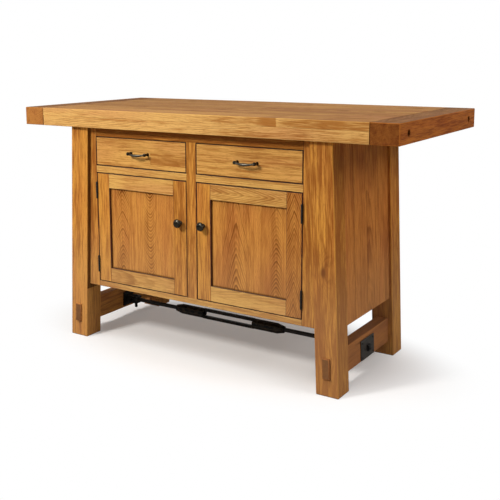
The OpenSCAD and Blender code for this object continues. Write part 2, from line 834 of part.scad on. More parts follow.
module drawer_pull(side) color(pewter) on_side(side) {
    inner_y = drawer_box_y[0] + drawer_side_thickness;
    difference() {
        union() {
            translate([opening_middle, face_y - pull_reach + pull_bar_d / 2 + pull_radius, pull_level])
                rotate([0, 0, -90 - pull_half_angle])
                    rotate_extrude(angle = 2 * pull_half_angle)
                        translate([pull_radius, 0]) circle(d = pull_bar_d);
            for (x = pull_x) {
                bar_y(pull_post_d / 2, x, [face_y - pull_post, face_y], pull_level);
                translate([x, face_y - pull_post, pull_level]) sphere(d = pull_ball_d);
            }
        }
        for (x = pull_x) bar_y(screw_d / 2 + bolt_fit, x, [face_y - screw_bite - bolt_fit, face_y + beyond], pull_level);
    }
    for (x = pull_x) union() {
        bar_y(screw_d / 2, x, [face_y - screw_bite, inner_y + screw_head], pull_level);
        bar_y(screw_head_d / 2, x, [inner_y, inner_y + screw_head], pull_level);
    }
}

// Doors

door_x = [opening_inner + front_gap, opening_outer - front_gap];
door_z = [door_sill + front_gap, door_head - front_gap];
door_y = [face_y, face_y + door_thickness];
door_panel_y = [face_y + panel_recess, face_y + panel_recess + panel_thickness];
panel_x = [door_x[0] + door_stile_width, door_x[1] - door_stile_width];
panel_z = [door_z[0] + door_rail_width, door_z[1] - door_rail_width];
knob_x = door_x[0] + knob_inset;
knob_level = (door_z[0] + door_z[1]) / 2 + knob_rise;
knob_r = knob_d / 2;

// The space that a door's panel fills, grown by a margin
module door_panel_space(margin) {
    side_fit = min(margin, wood_fit);
    block([panel_x[0] - panel_groove - margin, panel_x[1] + panel_groove + margin],
        [door_panel_y[0] - side_fit, door_panel_y[1] + side_fit],
        [panel_z[0] - panel_groove - margin, panel_z[1] + panel_groove + margin]);
}

// The tongues at the ends of a door's rails lie in the same groove as the panel
module door_rail_tongues(margin) {
    reach = panel_groove + margin;
    for (z = [[door_z[0], panel_z[0]], [panel_z[1], door_z[1]]])
        block([panel_x[0] - reach, panel_x[1] + reach], [door_panel_y[0] - margin, door_panel_y[1] + margin],
            [z[0] + rail_shoulder - margin, z[1] - rail_shoulder + margin]);
}

module knob_screw_hole()
    bar_y(screw_d / 2 + bolt_fit, knob_x, [face_y - beyond, door_y[1] + beyond], knob_level);

module door_frame(side) color(honey) on_side(side) {
    for (x = [[door_x[0], panel_x[0]], [panel_x[1], door_x[1]]]) difference() {
        block(x, door_y, door_z);
        door_panel_space(panel_play);
        door_rail_tongues(wood_fit);
        knob_screw_hole();
    }
    for (z = [[door_z[0], panel_z[0]], [panel_z[1], door_z[1]]]) difference() {
        union() {
            block([panel_x[0] + wood_fit, panel_x[1] - wood_fit], door_y, z);
            block([panel_x[0] - panel_groove, panel_x[1] + panel_groove], door_panel_y,
                [z[0] + rail_shoulder, z[1] - rail_shoulder]);
        }
        door_panel_space(panel_play);
    }
}

module door_panel(side) color(honey) on_side(side) door_panel_space(0);

// A mushroom knob, turned, with a screw from inside the door
module door_knob(side) color(pewter) on_side(side) {
    translate([knob_x, face_y, knob_level]) rotate([90, 0, 0]) difference() {
        rotate_extrude() union() {
            square([knob_base_d / 2, knob_base_h]);
            square([knob_neck_d / 2, knob_reach - knob_head_h / 2]);
            intersection() {
                translate([0, knob_reach - knob_dome_r]) circle(r = knob_dome_r);
                translate([0, knob_reach - knob_head_h]) square([knob_r, knob_head_h]);
            }
        }
        translate([0, 0, -beyond])
            cylinder(r = screw_d / 2 + bolt_fit, h = beyond + knob_screw_bite + bolt_fit);
    }
    union() {
        bar_y(screw_d / 2, knob_x, [face_y - knob_screw_bite, door_y[1] + screw_head], knob_level);
        bar_y(screw_head_d / 2, knob_x, [door_y[1], door_y[1] + screw_head], knob_level);
    }
}

// The catches reach out from the partition behind the closed doors
module door_catches() color(pewter)
    for (side = [left, right]) on_side(side) {
        y0 = door_y[1] + axial_fit + max(0, case_front_y - door_y[1]);
        block([partition_x, partition_x + catch_reach], [y0, y0 + catch_depth],
            [door_z[1] - rail_shoulder - catch_height, door_z[1] - rail_shoulder]);
    }

// Hinges

knuckle_pitch = hinge_height / knuckle_count;
knuckle_r = knuckle_d / 2;
hinge_x = opening_outer - front_gap / 2;
hinge_y = face_y - knuckle_r - knuckle_gap;
hinge_levels = [door_z[0] + hinge_inset, door_z[1] - hinge_inset];

// The knuckles and leaf of one half of a hinge: the frame's half has the odd knuckles.
// toward is +1 where the leaf lies on the frame's side of the gap
module hinge_half(level, odd, toward) {
    z0 = level - hinge_height / 2;
    far = toward * front_gap / 2;
    near = toward * (front_gap / 2 - leaf_thickness);
    leaf_x = [hinge_x + min(far, near), hinge_x + max(far, near)];
    difference() {
        union() {
            block(leaf_x, [hinge_y, face_y + leaf_depth], [z0, z0 + hinge_height]);
            for (i = [0 : knuckle_count - 1])
                if ((i % 2 == 0) == odd)
                    bar_z(knuckle_r, hinge_x, hinge_y,
                        [z0 + i * knuckle_pitch + (i > 0 ? axial_fit / 2 : 0),
                        z0 + (i + 1) * knuckle_pitch - (i < knuckle_count - 1 ? axial_fit / 2 : 0)]);
        }
        for (i = [0 : knuckle_count - 1])
            if ((i % 2 == 0) != odd)
                bar_z(knuckle_r + axial_fit, hinge_x, hinge_y,
                    [z0 + i * knuckle_pitch - (i > 0 ? axial_fit / 2 : beyond),
                    z0 + (i + 1) * knuckle_pitch + (i < knuckle_count - 1 ? axial_fit / 2 : beyond)]);
        bar_z(pin_d / 2 + running_fit, hinge_x, hinge_y, [z0 - beyond, z0 + hinge_height + beyond]);
    }
}

module hinge_frame_leaves() color(iron)
    for (side = [left, right], level = hinge_levels) on_side(side) hinge_half(level, true, 1);

module door_hinge_leaves(side) color(iron)
    for (level = hinge_levels) on_side(side) hinge_half(level, false, -1);

// A pin has a small round head at each end
module hinge_pins() color(iron)
    for (side = [left, right], level = hinge_levels) on_side(side) {
        ends = [level - hinge_height / 2 - axial_fit / 2, level + hinge_height / 2 + axial_fit / 2];
        union() {
            bar_z(pin_d / 2, hinge_x, hinge_y, ends);
            bar_z(pin_head_d / 2, hinge_x, hinge_y, [ends[1], ends[1] + pin_head_h]);
            bar_z(pin_head_d / 2, hinge_x, hinge_y, [ends[0] - pin_head_h, ends[0]]);
        }
    }

// Tie rod: an anchor bolt with a fork through each stretcher, a rod with an eye in each fork,
// and a turnbuckle that draws the two rods together

stretcher_inner_out = stretcher_out + stretcher_thickness;
anchor_x = leg_outer_x(tie_level) - stretcher_inner_out - anchor_reach;
plate_out = stretcher_out - plate_thickness;
plate_z = [tie_level - plate_height / 2, tie_level + plate_height / 2];
fork_width = eye_d + 2 * fork_side;
fork_half_slot = eye_thickness / 2 + axial_fit;
fork_half = fork_half_slot + fork_cheek;

// Each nail's place on the right plate, its outer face at x = 0
module nail_places() {
    for (dy = [nail_inset - plate_width / 2, plate_width / 2 - nail_inset],
        z = [plate_z[0] + nail_inset, plate_z[1] - nail_inset])
        translate([leg_outer_x(z) - plate_out + lean * nail_head_d / 2, frame_y + dy, z]) children();
}

module stretcher_plates() color(iron)
    for (side = [left, right]) on_side(side) difference() {
        leaning([plate_out, stretcher_out], [frame_y - plate_width / 2, frame_y + plate_width / 2], plate_z);
        bar_x(rod_d / 2 + bolt_fit, [0, leg_outer_x(0)], frame_y, tie_level);
        nail_places() bar_x(nail_shank_d / 2 + bolt_fit, [-nail_length, beyond], 0, 0);
    }

module plate_nails() color(iron)
    for (side = [left, right]) on_side(side) nail_places() union() {
        bar_x(nail_shank_d / 2, [-nail_length, nail_head_h], 0, 0);
        bar_x(nail_head_d / 2, [0, nail_head_h], 0, 0);
    }

module tie_anchor(side) color(iron) on_side(side) {
    block_x0 = anchor_x + eye_d / 2 + fork_throat;
    plate_in = stretcher_inner_out + fork_plate_thickness;
    half_plate = fork_plate_size / 2;
    bolt_end = leg_outer_x(tie_level) - plate_out + nut_thickness + bolt_proud;
    difference() {
        union() {
            bar_x(rod_d / 2, [block_x0, bolt_end], frame_y, tie_level);
            leaning([stretcher_inner_out, plate_in], [frame_y - half_plate, frame_y + half_plate],
                [tie_level - half_plate, tie_level + half_plate]);
            block([anchor_x - eye_d / 2, leg_outer_x(tie_level) - stretcher_inner_out - fork_plate_thickness / 2],
                [frame_y - fork_width / 2, frame_y + fork_width / 2], [tie_level - fork_half, tie_level + fork_half]);
        }
        block([anchor_x - eye_d, block_x0], [frame_y - fork_width, frame_y + fork_width],
            [tie_level - fork_half_slot, tie_level + fork_half_slot]);
        bar_z(fork_pin_d / 2 + bolt_fit, anchor_x, frame_y, [tie_level - 2 * fork_half, tie_level + 2 * fork_half]);
    }
}

rod_inner_x = slot_length / 2 + rod_inset;

module tie_rod(side) color(iron) on_side(side) {
    neck_x = anchor_x - eye_d / 2 - eye_neck;
    shift = side * turnbuckle_shift;
    difference() {
        union() {
            bar_x(rod_d / 2, [rod_inner_x - shift, neck_x], frame_y, tie_level);
            block([neck_x - rod_d / 2, anchor_x], [frame_y - rod_d / 2, frame_y + rod_d / 2],
                [tie_level - eye_thickness / 2, tie_level + eye_thickness / 2]);
            bar_z(eye_d / 2, anchor_x, frame_y, [tie_level - eye_thickness / 2, tie_level + eye_thickness / 2]);
        }
        bar_z(fork_pin_d / 2 + bolt_fit, anchor_x, frame_y, [tie_level - fork_half, tie_level + fork_half]);
    }
}

module turnbuckle_body() color(iron) translate([-turnbuckle_shift, frame_y, tie_level]) {
    half = turnbuckle_length / 2;
    big = turnbuckle_d / 2;
    difference() {
        rotate([0, 90, 0]) rotate_extrude() polygon([
            [rod_d / 2 + running_fit, -half],
            [turnbuckle_end_d / 2, -half],
            [big, turnbuckle_taper - half],
            [big, half - turnbuckle_taper],
            [turnbuckle_end_d / 2, half],
            [rod_d / 2 + running_fit, half]
        ]);
        block([-slot_length / 2, slot_length / 2], [-turnbuckle_d, turnbuckle_d], [-slot_height / 2, slot_height / 2]);
        for (s = [left, right])
            block([-slot_length / 2, slot_length / 2],
                [min(s * bar_width / 2, s * turnbuckle_d), max(s * bar_width / 2, s * turnbuckle_d)],
                [-turnbuckle_d, turnbuckle_d]);
    }
}

module bolts_and_nuts() color(iron) for (side = [left, right]) on_side(side) {
    seat = top_length / 2 - bolt_recess_depth;
    for (y = [-bolt_y, bolt_y]) union() {
        bar_x(bolt_d / 2, [breadboard_x - bolt_reach + bolt_fit, seat + bolt_head_h], y, bolt_level);
        bar_x(bolt_head_d / 2, [seat, seat + bolt_head_h], y, bolt_level);
    }
    difference() {
        leaning([plate_out - nut_thickness, plate_out], [frame_y - nut_width / 2, frame_y + nut_width / 2],
            [tie_level - nut_width / 2, tie_level + nut_width / 2]);
        bar_x(rod_d / 2 + bolt_fit, [0, leg_outer_x(0) + nut_width], frame_y, tie_level);
    }
    union() {
        bar_z(fork_pin_d / 2, anchor_x, frame_y,
            [tie_level - fork_half - fork_pin_tail, tie_level + fork_half + fork_pin_head_h]);
        bar_z(fork_pin_head_d / 2, anchor_x, frame_y,
            [tie_level + fork_half, tie_level + fork_half + fork_pin_head_h]);
    }
}

top_boards();
edge_strip(true);  // top_edge_front
edge_strip(false);  // top_edge_rear
top_batten(left);  // top_batten_left
top_batten(right);  // top_batten_right
breadboard(left);  // breadboard_left
breadboard(right);  // breadboard_right
bolts_and_nuts();
leg(left, true);  // leg_front_left
leg(right, true);  // leg_front_right
leg(left, false);  // leg_rear_left
leg(right, false);  // leg_rear_right
side_stretcher(left);  // side_stretcher_left
side_stretcher(right);  // side_stretcher_right
side_boards(left);  // side_boards_left
side_boards(right);  // side_boards_right
face_stile(left);  // face_stile_left
face_stile(right);  // face_stile_right
face_mullion();
face_top_rail();
face_middle_rails();
face_bottom_rail();
back_frame();
back_panels();
case_side(left);  // case_side_left
case_side(right);  // case_side_right
case_floor();
centre_partition();
slide_spacers();
shelves();
shelf_pegs();
slide_rails();
door_catches();
hinge_frame_leaves();
hinge_pins();
stretcher_plates();
plate_nails();
tie_anchor(left);  // tie_anchor_left
tie_anchor(right);  // tie_anchor_right
tie_rod(left);  // tie_rod_left
tie_rod(right);  // tie_rod_right
turnbuckle_body();
drawer_front(left);  // drawer_left_front
drawer_box(left);  // drawer_left_box
drawer_pull(left);  // drawer_left_pull
drawer_runners(left);  // drawer_left_runners
drawer_front(right);  // drawer_right_front
drawer_box(right);  // drawer_right_box
drawer_pull(right);  // drawer_right_pull
drawer_runners(right);  // drawer_right_runners
slide_middles(left);  // slide_middles_left
slide_middles(right);  // slide_middles_right
door_frame(left);  // door_left_frame
door_panel(left);  // door_left_panel
door_knob(left);  // door_left_knob
door_hinge_leaves(left);  // door_left_hinge_leaves
door_frame(right);  // door_right_frame
door_panel(right);  // door_right_panel
door_knob(right);  // door_right_knob
door_hinge_leaves(right);  // door_right_hinge_leaves
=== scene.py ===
import math
import random
from functools import partial

import bmesh
import bpy
from mathutils import Matrix, Vector


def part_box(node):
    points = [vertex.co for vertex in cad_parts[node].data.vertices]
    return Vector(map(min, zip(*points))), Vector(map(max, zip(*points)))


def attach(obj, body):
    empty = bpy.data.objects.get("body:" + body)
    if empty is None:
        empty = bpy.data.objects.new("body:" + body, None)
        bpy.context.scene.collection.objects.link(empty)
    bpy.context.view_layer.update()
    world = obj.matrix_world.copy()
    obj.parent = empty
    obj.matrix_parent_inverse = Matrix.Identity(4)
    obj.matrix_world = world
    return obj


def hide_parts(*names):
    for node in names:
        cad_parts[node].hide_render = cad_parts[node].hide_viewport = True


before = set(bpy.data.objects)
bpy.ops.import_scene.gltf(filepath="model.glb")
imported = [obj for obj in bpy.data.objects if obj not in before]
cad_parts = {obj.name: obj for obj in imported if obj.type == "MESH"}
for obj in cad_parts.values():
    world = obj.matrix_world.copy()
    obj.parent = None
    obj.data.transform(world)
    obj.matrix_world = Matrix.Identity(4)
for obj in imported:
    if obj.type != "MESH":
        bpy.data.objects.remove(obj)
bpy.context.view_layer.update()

# Camera
# It stands where the photograph was taken from: to the right of the island's front, and a little
# above the worktop. Its shift puts the island as high and as far left in the picture as there.
camera_place = Vector((1.6772, -2.6794, 1.1292))
camera_yaw, camera_tilt, camera_roll = math.radians(-34.47), math.radians(9.39), math.radians(-0.47)
camera_data = bpy.data.cameras.new("camera")
camera_data.lens = 59.2
camera_data.sensor_width = 36
camera_data.shift_x = 0.0877
camera_data.shift_y = -0.1264
camera = bpy.data.objects.new("camera", camera_data)
bpy.context.scene.collection.objects.link(camera)
ahead = Vector((math.sin(camera_yaw) * math.cos(camera_tilt), math.cos(camera_yaw) * math.cos(camera_tilt),
                -math.sin(camera_tilt)))
level_right = Vector((math.cos(camera_yaw), -math.sin(camera_yaw), 0))
level_up = level_right.cross(ahead)
camera_right = math.cos(camera_roll) * level_right + math.sin(camera_roll) * level_up
camera_up = math.cos(camera_roll) * level_up - math.sin(camera_roll) * level_right
camera.matrix_world = Matrix.Translation(camera_place) @ Matrix(
    (camera_right, camera_up, -ahead)).transposed().to_4x4()
bpy.context.scene.camera = camera
bpy.context.scene.view_settings.view_transform = "Standard"


# Worktop
# Six long boards of honey-stained hardwood, glued up from shorter staves, over two strips that
# thicken the front and rear edges. The surface is planed and lacquered, and its arrises are worn.
RIGHT, REAR, UP = Vector((1, 0, 0)), Vector((0, 1, 0)), Vector((0, 0, 1))


def feed(tree, sockets, values):
    """Links each socket to the one given, or sets it to the plain number or colour."""
    for socket, value in zip(sockets, values):
        if isinstance(value, bpy.types.NodeSocket):
            tree.links.new(value, socket)
        else:
            socket.default_value = (*value, 1) if socket.type == "RGBA" else value


def calc(tree, how, *values):
    """A Math node."""
    node = tree.nodes.new("ShaderNodeMath")
    node.operation = how
    feed(tree, node.inputs, values)
    return node.outputs[0]


def between(tree, share, first, second, how="MIX"):
    """A colour from first to second; share says how much of second there is."""
    node = tree.nodes.new("ShaderNodeMix")
    node.data_type = "RGBA"
    node.blend_type = how
    feed(tree, (node.inputs[0], node.inputs[6], node.inputs[7]), (share, first, second))
    return node.outputs[2]


def cloud(tree, place, density, detail=2):
    """Noise at a place, with so many lumps in a metre along each axis."""
    stretch = tree.nodes.new("ShaderNodeVectorMath")
    stretch.operation = "MULTIPLY"
    feed(tree, stretch.inputs, (place, density))
    node = tree.nodes.new("ShaderNodeTexNoise")
    feed(tree, (node.inputs["Vector"], node.inputs["Scale"], node.inputs["Detail"]),
         (stretch.outputs[0], 1, detail))
    return node.outputs[0]


def rise(tree, value, low, high, least=0.0, most=1.0):
    """A smooth step from least, where value is low, to most, where it is high."""
    node = tree.nodes.new("ShaderNodeMapRange")
    node.interpolation_type = "SMOOTHSTEP"
    feed(tree, node.inputs, (value, low, high, least, most))
    return node.outputs[0]


def new_effect(name, colours, numbers):
    """An empty shader node group for a finish, with its inputs and outputs."""
    tree = bpy.data.node_groups.new(name, "ShaderNodeTree")
    for way, kind, titles in (("INPUT", "Color", colours), ("INPUT", "Float", numbers),
                              ("OUTPUT", "Color", ("Color",)), ("OUTPUT", "Float", ("Roughness", "Height"))):
        for title in titles:
            tree.interface.new_socket(title, in_out=way, socket_type="NodeSocket" + kind)
    return tree, tree.nodes.new("NodeGroupInput").outputs, tree.nodes.new("NodeGroupOutput").inputs


def look_up(tree, name):
    node = tree.nodes.new("ShaderNodeAttribute")
    node.attribute_name = name
    return node


timber_figure, given, result = new_effect("timber_figure", ("Pale", "Brown", "Line"),
                                          ("Ring Width", "Figure", "Variety", "Dullness"))
grain = look_up(timber_figure, "grain").outputs["Vector"]
# How many lumps of each kind there are in a metre along, across and through a board, and how
# broken up they are
LUMPS = {"slow bend": ((1.6, 7, 7), 2), "quick bend": ((10, 32, 32), 3), "lean years": ((7, 22, 22), 2),
         "band": ((1.1, 18, 18), 3), "streak": ((3.2, 85, 85), 2), "blotch": ((7, 24, 24), 3),
         "fibre": ((15, 260, 260), 2), "pore": ((60, 700, 700), 1), "ruddy": ((2.8, 12, 12), 2)}
lumps = {kind: cloud(timber_figure, grain, *how_many) for kind, how_many in LUMPS.items()}
reckon, step, tint = (partial(work, timber_figure) for work in (calc, rise, between))
apart = timber_figure.nodes.new("ShaderNodeSeparateXYZ")
timber_figure.links.new(grain, apart.inputs[0])
along, across, deep = apart.outputs
# The rings are cones round the pith, bent a little by slow and by quick waves along the board
SLOW_BEND, QUICK_BEND = 0.45, 0.16
from_pith = reckon("SQRT", reckon("MULTIPLY_ADD", across, across, reckon("MULTIPLY", deep, deep)))
cone = reckon("MULTIPLY_ADD", along, look_up(timber_figure, "taper").outputs["Fac"], from_pith)
spread = look_up(timber_figure, "spread").outputs["Fac"]
bends = reckon("MULTIPLY_ADD", lumps["slow bend"], SLOW_BEND,
               reckon("MULTIPLY", lumps["quick bend"], QUICK_BEND))
bent = reckon("MULTIPLY_ADD", bends, spread, cone)
# A branch leaves a knot, and the rings swell round it
KNOT_REACH, KNOT_CORE, KNOT_SWELL = 0.060, 0.014, 0.038
knot_far = timber_figure.nodes.new("ShaderNodeVectorMath")
knot_far.operation = "LENGTH"
timber_figure.links.new(look_up(timber_figure, "knot").outputs["Vector"], knot_far.inputs[0])
knot_far = knot_far.outputs["Value"]
bent = reckon("MULTIPLY_ADD", step(knot_far, 0.004, KNOT_REACH, 1.0, 0.0), KNOT_SWELL, bent)
# Each year's line darkens slowly and ends sharply, and some years and places show it less
year = reckon("DIVIDE", bent, given["Ring Width"])
season = reckon("FRACT", year)
late = reckon("MULTIPLY", step(season, 0.05, 0.80), step(season, 0.84, 1.0, 1.0, 0.0))
weather = timber_figure.nodes.new("ShaderNodeTexWhiteNoise")
weather.noise_dimensions = "1D"
timber_figure.links.new(reckon("FLOOR", year), weather.inputs["W"])
late = reckon("MULTIPLY", late, step(weather.outputs["Value"], 0, 1, 0.35, 1.0))
late = reckon("MULTIPLY", late, step(lumps["lean years"], 0.36, 0.58, 0.60, 1.0))
# The lines show best over the heart and round a knot, and fade away from them
from_heart = reckon("DIVIDE", reckon("ABSOLUTE", across), spread)
near_knot = step(knot_far, 0.020, KNOT_REACH, 1.0, 0.0)
late = reckon("MULTIPLY", late, reckon("MAXIMUM", near_knot, step(from_heart, 0.25, 1.0, 1.0, 0.16)))
# Bands, streaks, blotches and fibres run with the grain, and the pores are short dark dashes
pore = step(lumps["pore"], 0.60, 0.72)
stain = reckon("MULTIPLY_ADD", look_up(timber_figure, "tone").outputs["Fac"], given["Variety"], 0.47)
cut_end = look_up(timber_figure, "end").outputs["Fac"]
fibres = reckon("MULTIPLY_ADD", cut_end, -1.4, 2.0)
for kind, strength in (("band", 1.1), ("streak", 1.2), ("blotch", 0.75), ("fibre", fibres)):
    stain = reckon("MULTIPLY_ADD", reckon("SUBTRACT", lumps[kind], 0.5), strength, stain)
RUDDY, CUT_END, KNOT_BROWN = (0.90, 0.80, 0.88), (0.58, 0.60, 0.68), (0.13, 0.032, 0.008)
colour = tint(step(stain, 0, 1), given["Pale"], given["Brown"])
colour = tint(step(lumps["ruddy"], 0.44, 0.72), colour, RUDDY, "MULTIPLY")
colour = tint(reckon("MULTIPLY", late, given["Figure"]), colour, given["Line"])
colour = tint(reckon("MULTIPLY", pore, 0.45), colour, given["Line"])
colour = tint(cut_end, colour, CUT_END, "MULTIPLY")
worn = reckon("MULTIPLY", look_up(timber_figure, "arris").outputs["Fac"],
              step(lumps["blotch"], 0.35, 0.6, 0.15, 0.6))
colour = tint(worn, colour, given["Pale"])
colour = tint(step(knot_far, 0.003, KNOT_CORE, 0.85, 0.0), colour, KNOT_BROWN)
# The lower parts are painted paler and duller, a painted reflection of the pale floor in the
# lacquer. Stain lies thick at joints and painted shade in corners and recesses, and the painted
# shade is darkest and bluest in the gaps
FLOOR_SHEEN_FILM, STAIN_AND_SHADE_COLOUR, GAP_SHADE_COLOUR = (0.48, 0.30, 0.16), (0.022, 0.006, 0.001), (0.022, 0.010, 0.028)
FLOOR_SHEEN_BELOW, FLOOR_SHEEN_GONE_ABOVE, FLOOR_SHEEN_MOST = 0.20, 0.56, 0.22
height = timber_figure.nodes.new("ShaderNodeSeparateXYZ")
timber_figure.links.new(timber_figure.nodes.new("ShaderNodeTexCoord").outputs["Object"], height.inputs[0])
colour = tint(step(height.outputs[2], FLOOR_SHEEN_BELOW, FLOOR_SHEEN_GONE_ABOVE, FLOOR_SHEEN_MOST, 0.0), colour, FLOOR_SHEEN_FILM)
# This attribute is real stain at some joints, and painted shade in gaps, corners and recesses
stain_and_shade = look_up(timber_figure, "stain_and_shade").outputs["Fac"]
colour = tint(stain_and_shade, colour, tint(step(stain_and_shade, 0.73, 0.79), STAIN_AND_SHADE_COLOUR, GAP_SHADE_COLOUR))
# Blotches, pores, yearly lines and cut ends are rougher, and pores, lines and fibres lie lower
dull = reckon("MULTIPLY_ADD", late, 0.08, reckon("MULTIPLY_ADD", pore, 0.15, given["Dullness"]))
dull = reckon("MULTIPLY_ADD", lumps["blotch"], 0.12, reckon("MULTIPLY_ADD", cut_end, 0.12, dull))
sunk = reckon("MULTIPLY_ADD", pore, 0.9, reckon("MULTIPLY", lumps["fibre"], 0.5))
sunk = reckon("MULTIPLY_ADD", late, 0.35, sunk)
feed(timber_figure, result, (colour, dull, reckon("SUBTRACT", 1.0, sunk)))


def finished(name, effect, values, gloss, strength, relief):
    """A material whose colour, roughness and relief come from an effect, at these values."""
    material = bpy.data.materials.new(name)
    material.use_nodes = True
    tree = material.node_tree
    shader = tree.nodes["Principled BSDF"]
    skin = tree.nodes.new("ShaderNodeGroup")
    skin.node_tree = effect
    feed(tree, [skin.inputs[title] for title in values], values.values())
    bump = tree.nodes.new("ShaderNodeBump")
    feed(tree, (bump.inputs["Strength"], bump.inputs["Distance"]), (strength, relief))
    feed(tree, (shader.inputs["Base Color"], shader.inputs["Roughness"], bump.inputs["Height"]), skin.outputs)
    feed(tree, (shader.inputs["Specular IOR Level"], shader.inputs["Normal"]), (gloss, bump.outputs["Normal"]))
    return material


def timber(name, pale, brown, line, ring_width=0.0075, figure=0.55, variety=0.3, gloss=0.02, dullness=0.46):
    """A lacquered wood in three tones of stain."""
    return finished(name, timber_figure, {"Pale": pale, "Brown": brown, "Line": line, "Ring Width": ring_width,
                                          "Figure": figure, "Variety": variety, "Dullness": dullness},
                    gloss, strength=0.6, relief=0.00035)


def loose_parts(shape):
    """The faces of each closed body in a mesh, sorted by where its middle is."""
    left = dict.fromkeys(shape.faces)
    parts = []
    while left:
        part = [next(iter(left))]
        del left[part[0]]
        for face in part:
            for edge in face.edges:
                for other in edge.link_faces:
                    if other in left:
                        del left[other]
                        part.append(other)
        parts.append(part)
    return sorted(parts, key=lambda part: tuple(round(v, 3) for v in reach_of(part)[2]))


def reach_of(part):
    """The lowest and highest corner of some faces, and the middle between them."""
    points = [v.co for face in part for v in face.verts]
    low = Vector(min(p[i] for p in points) for i in range(3))
    high = Vector(max(p[i] for p in points) for i in range(3))
    return low, high, (low + high) / 2


def bevelled(shape, parts, width, rounds, kind="EDGES"):
    """Bevels some edges or corners, and gives the new faces."""
    return bmesh.ops.bevel(shape, geom=list(parts), offset=width, segments=rounds, profile=0.5, affect=kind,
                           material=-1)["faces"]


# How near two corners are one, and how far two faces turn at a seam in a flat face and at an arris
SAME_PLACE, FLAT_SEAM, SHARP = 1e-5, 0.01, 0.5


def softened(node, arris, rounds=2, also=None):
    """A copy of a CAD node, its outer arrises rounded over, and any others that also picks."""
    shape = bmesh.new()
    shape.from_mesh(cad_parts[node].data)
    shape.transform(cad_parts[node].matrix_world)
    bmesh.ops.remove_doubles(shape, verts=shape.verts, dist=SAME_PLACE)
    bmesh.ops.dissolve_limit(shape, angle_limit=FLAT_SEAM, verts=shape.verts, edges=shape.edges)
    soft = shape.faces.layers.float.new("arris")
    outer = set()
    for part in loose_parts(shape):
        points = {v for face in part for v in face.verts}
        for face in part:
            base = face.verts[0].co
            if max((v.co - base).dot(face.normal) for v in points) < 2 * SAME_PLACE:
                outer.add(face)
    picked = [edge for edge in shape.edges
              if len(edge.link_faces) == 2 and edge.calc_face_angle(0) > SHARP
              and (all(face in outer for face in edge.link_faces) or (also and also(edge)))]
    for face in bevelled(shape, picked, arris, rounds):
        face[soft] = 1
        face.smooth = True
    return shape


def placed(name, shape, finishes, body, slot, *nodes):
    """The finished object: it rides on its body, and stands for the nodes named."""
    mesh = bpy.data.meshes.new(name)
    shape.to_mesh(mesh)
    shape.free()
    for finish in finishes:
        mesh.materials.append(finish)
    piece = bpy.data.objects.new(name, mesh)
    bpy.context.scene.collection.objects.link(piece)
    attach(piece, body)
    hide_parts(*nodes)


def scored(shape, faces, point, way):
    """Cuts lines into some faces where a plane crosses them."""
    edges = dict.fromkeys(edge for face in faces for edge in face.edges)
    points = dict.fromkeys(v for face in faces for v in face.verts)
    bmesh.ops.bisect_plane(shape, geom=[*faces, *edges, *points], plane_co=point, plane_no=way, dist=1e-6)


def darken_faces(shape, thickness, where, worn=False):
    """Darkening lies this thick at least on the faces that where picks by a face and its middle: real
    stain on some faces, painted shade on others. It hides their wear, unless they are worn."""
    darkening_layer, soft = shape.faces.layers.float["stain_and_shade"], shape.faces.layers.float["arris"]
    for face in shape.faces:
        if where(face, face.calc_center_median()):
            face[darkening_layer] = max(face[darkening_layer], thickness)
            if not worn:
                face[soft] = 0


# Where the pith lies from a board's middle, as a share of its width, how far below it in metres,
# and how fast the trunk tapers
CUTS = {"crown": ((0.0, 0.35), (0.03, 0.06), 0.28),
        "plain": ((0.3, 1.1), (0.03, 0.12), 0.10),
        "straight": ((1.6, 3.0), (0.00, 0.03), 0.02)}
# How far the figure spreads from a heart, a knot that lies off every board, how much less its
# distance counts along the grain, and how square to the length an end is cut
FIGURE_SPREAD = 0.085
NO_KNOT = (9, 9, 9)
ALONG_KNOT = 0.5
END_FACING = 0.8


def faded(tones, place):
    """The tone at a place along a board, from the tones at some places."""
    if not tones:
        return 0
    place = min(max(place, tones[0][0]), tones[-1][0])
    for (near, first), (far, last) in zip(tones, tones[1:]):
        if place <= far:
            return first + (last - first) * (place - near) / (far - near)
    return tones[-1][1]


def board_axes(part, lengthwise):
    """A board's middle, length and width, and the ways that its length, width and thickness run."""
    low, high, middle = reach_of(part)
    size = high - low
    length_axis = max(range(3), key=lambda i: size[i]) if lengthwise is None else lengthwise
    thick_axis = min((i for i in range(3) if i != length_axis), key=lambda i: size[i])
    run = max((edge for face in part for edge in face.edges),
              key=lambda edge: abs((edge.verts[0].co - edge.verts[1].co)[length_axis]))
    forward = (run.verts[0].co - run.verts[1].co).normalized()
    if forward[length_axis] < 0:
        forward = -forward
    sideways = (RIGHT, REAR, UP)[thick_axis].cross(forward).normalized()
    width = size.dot(Vector(abs(v) for v in sideways))
    return middle, size[length_axis], width, forward, sideways, forward.cross(sideways)


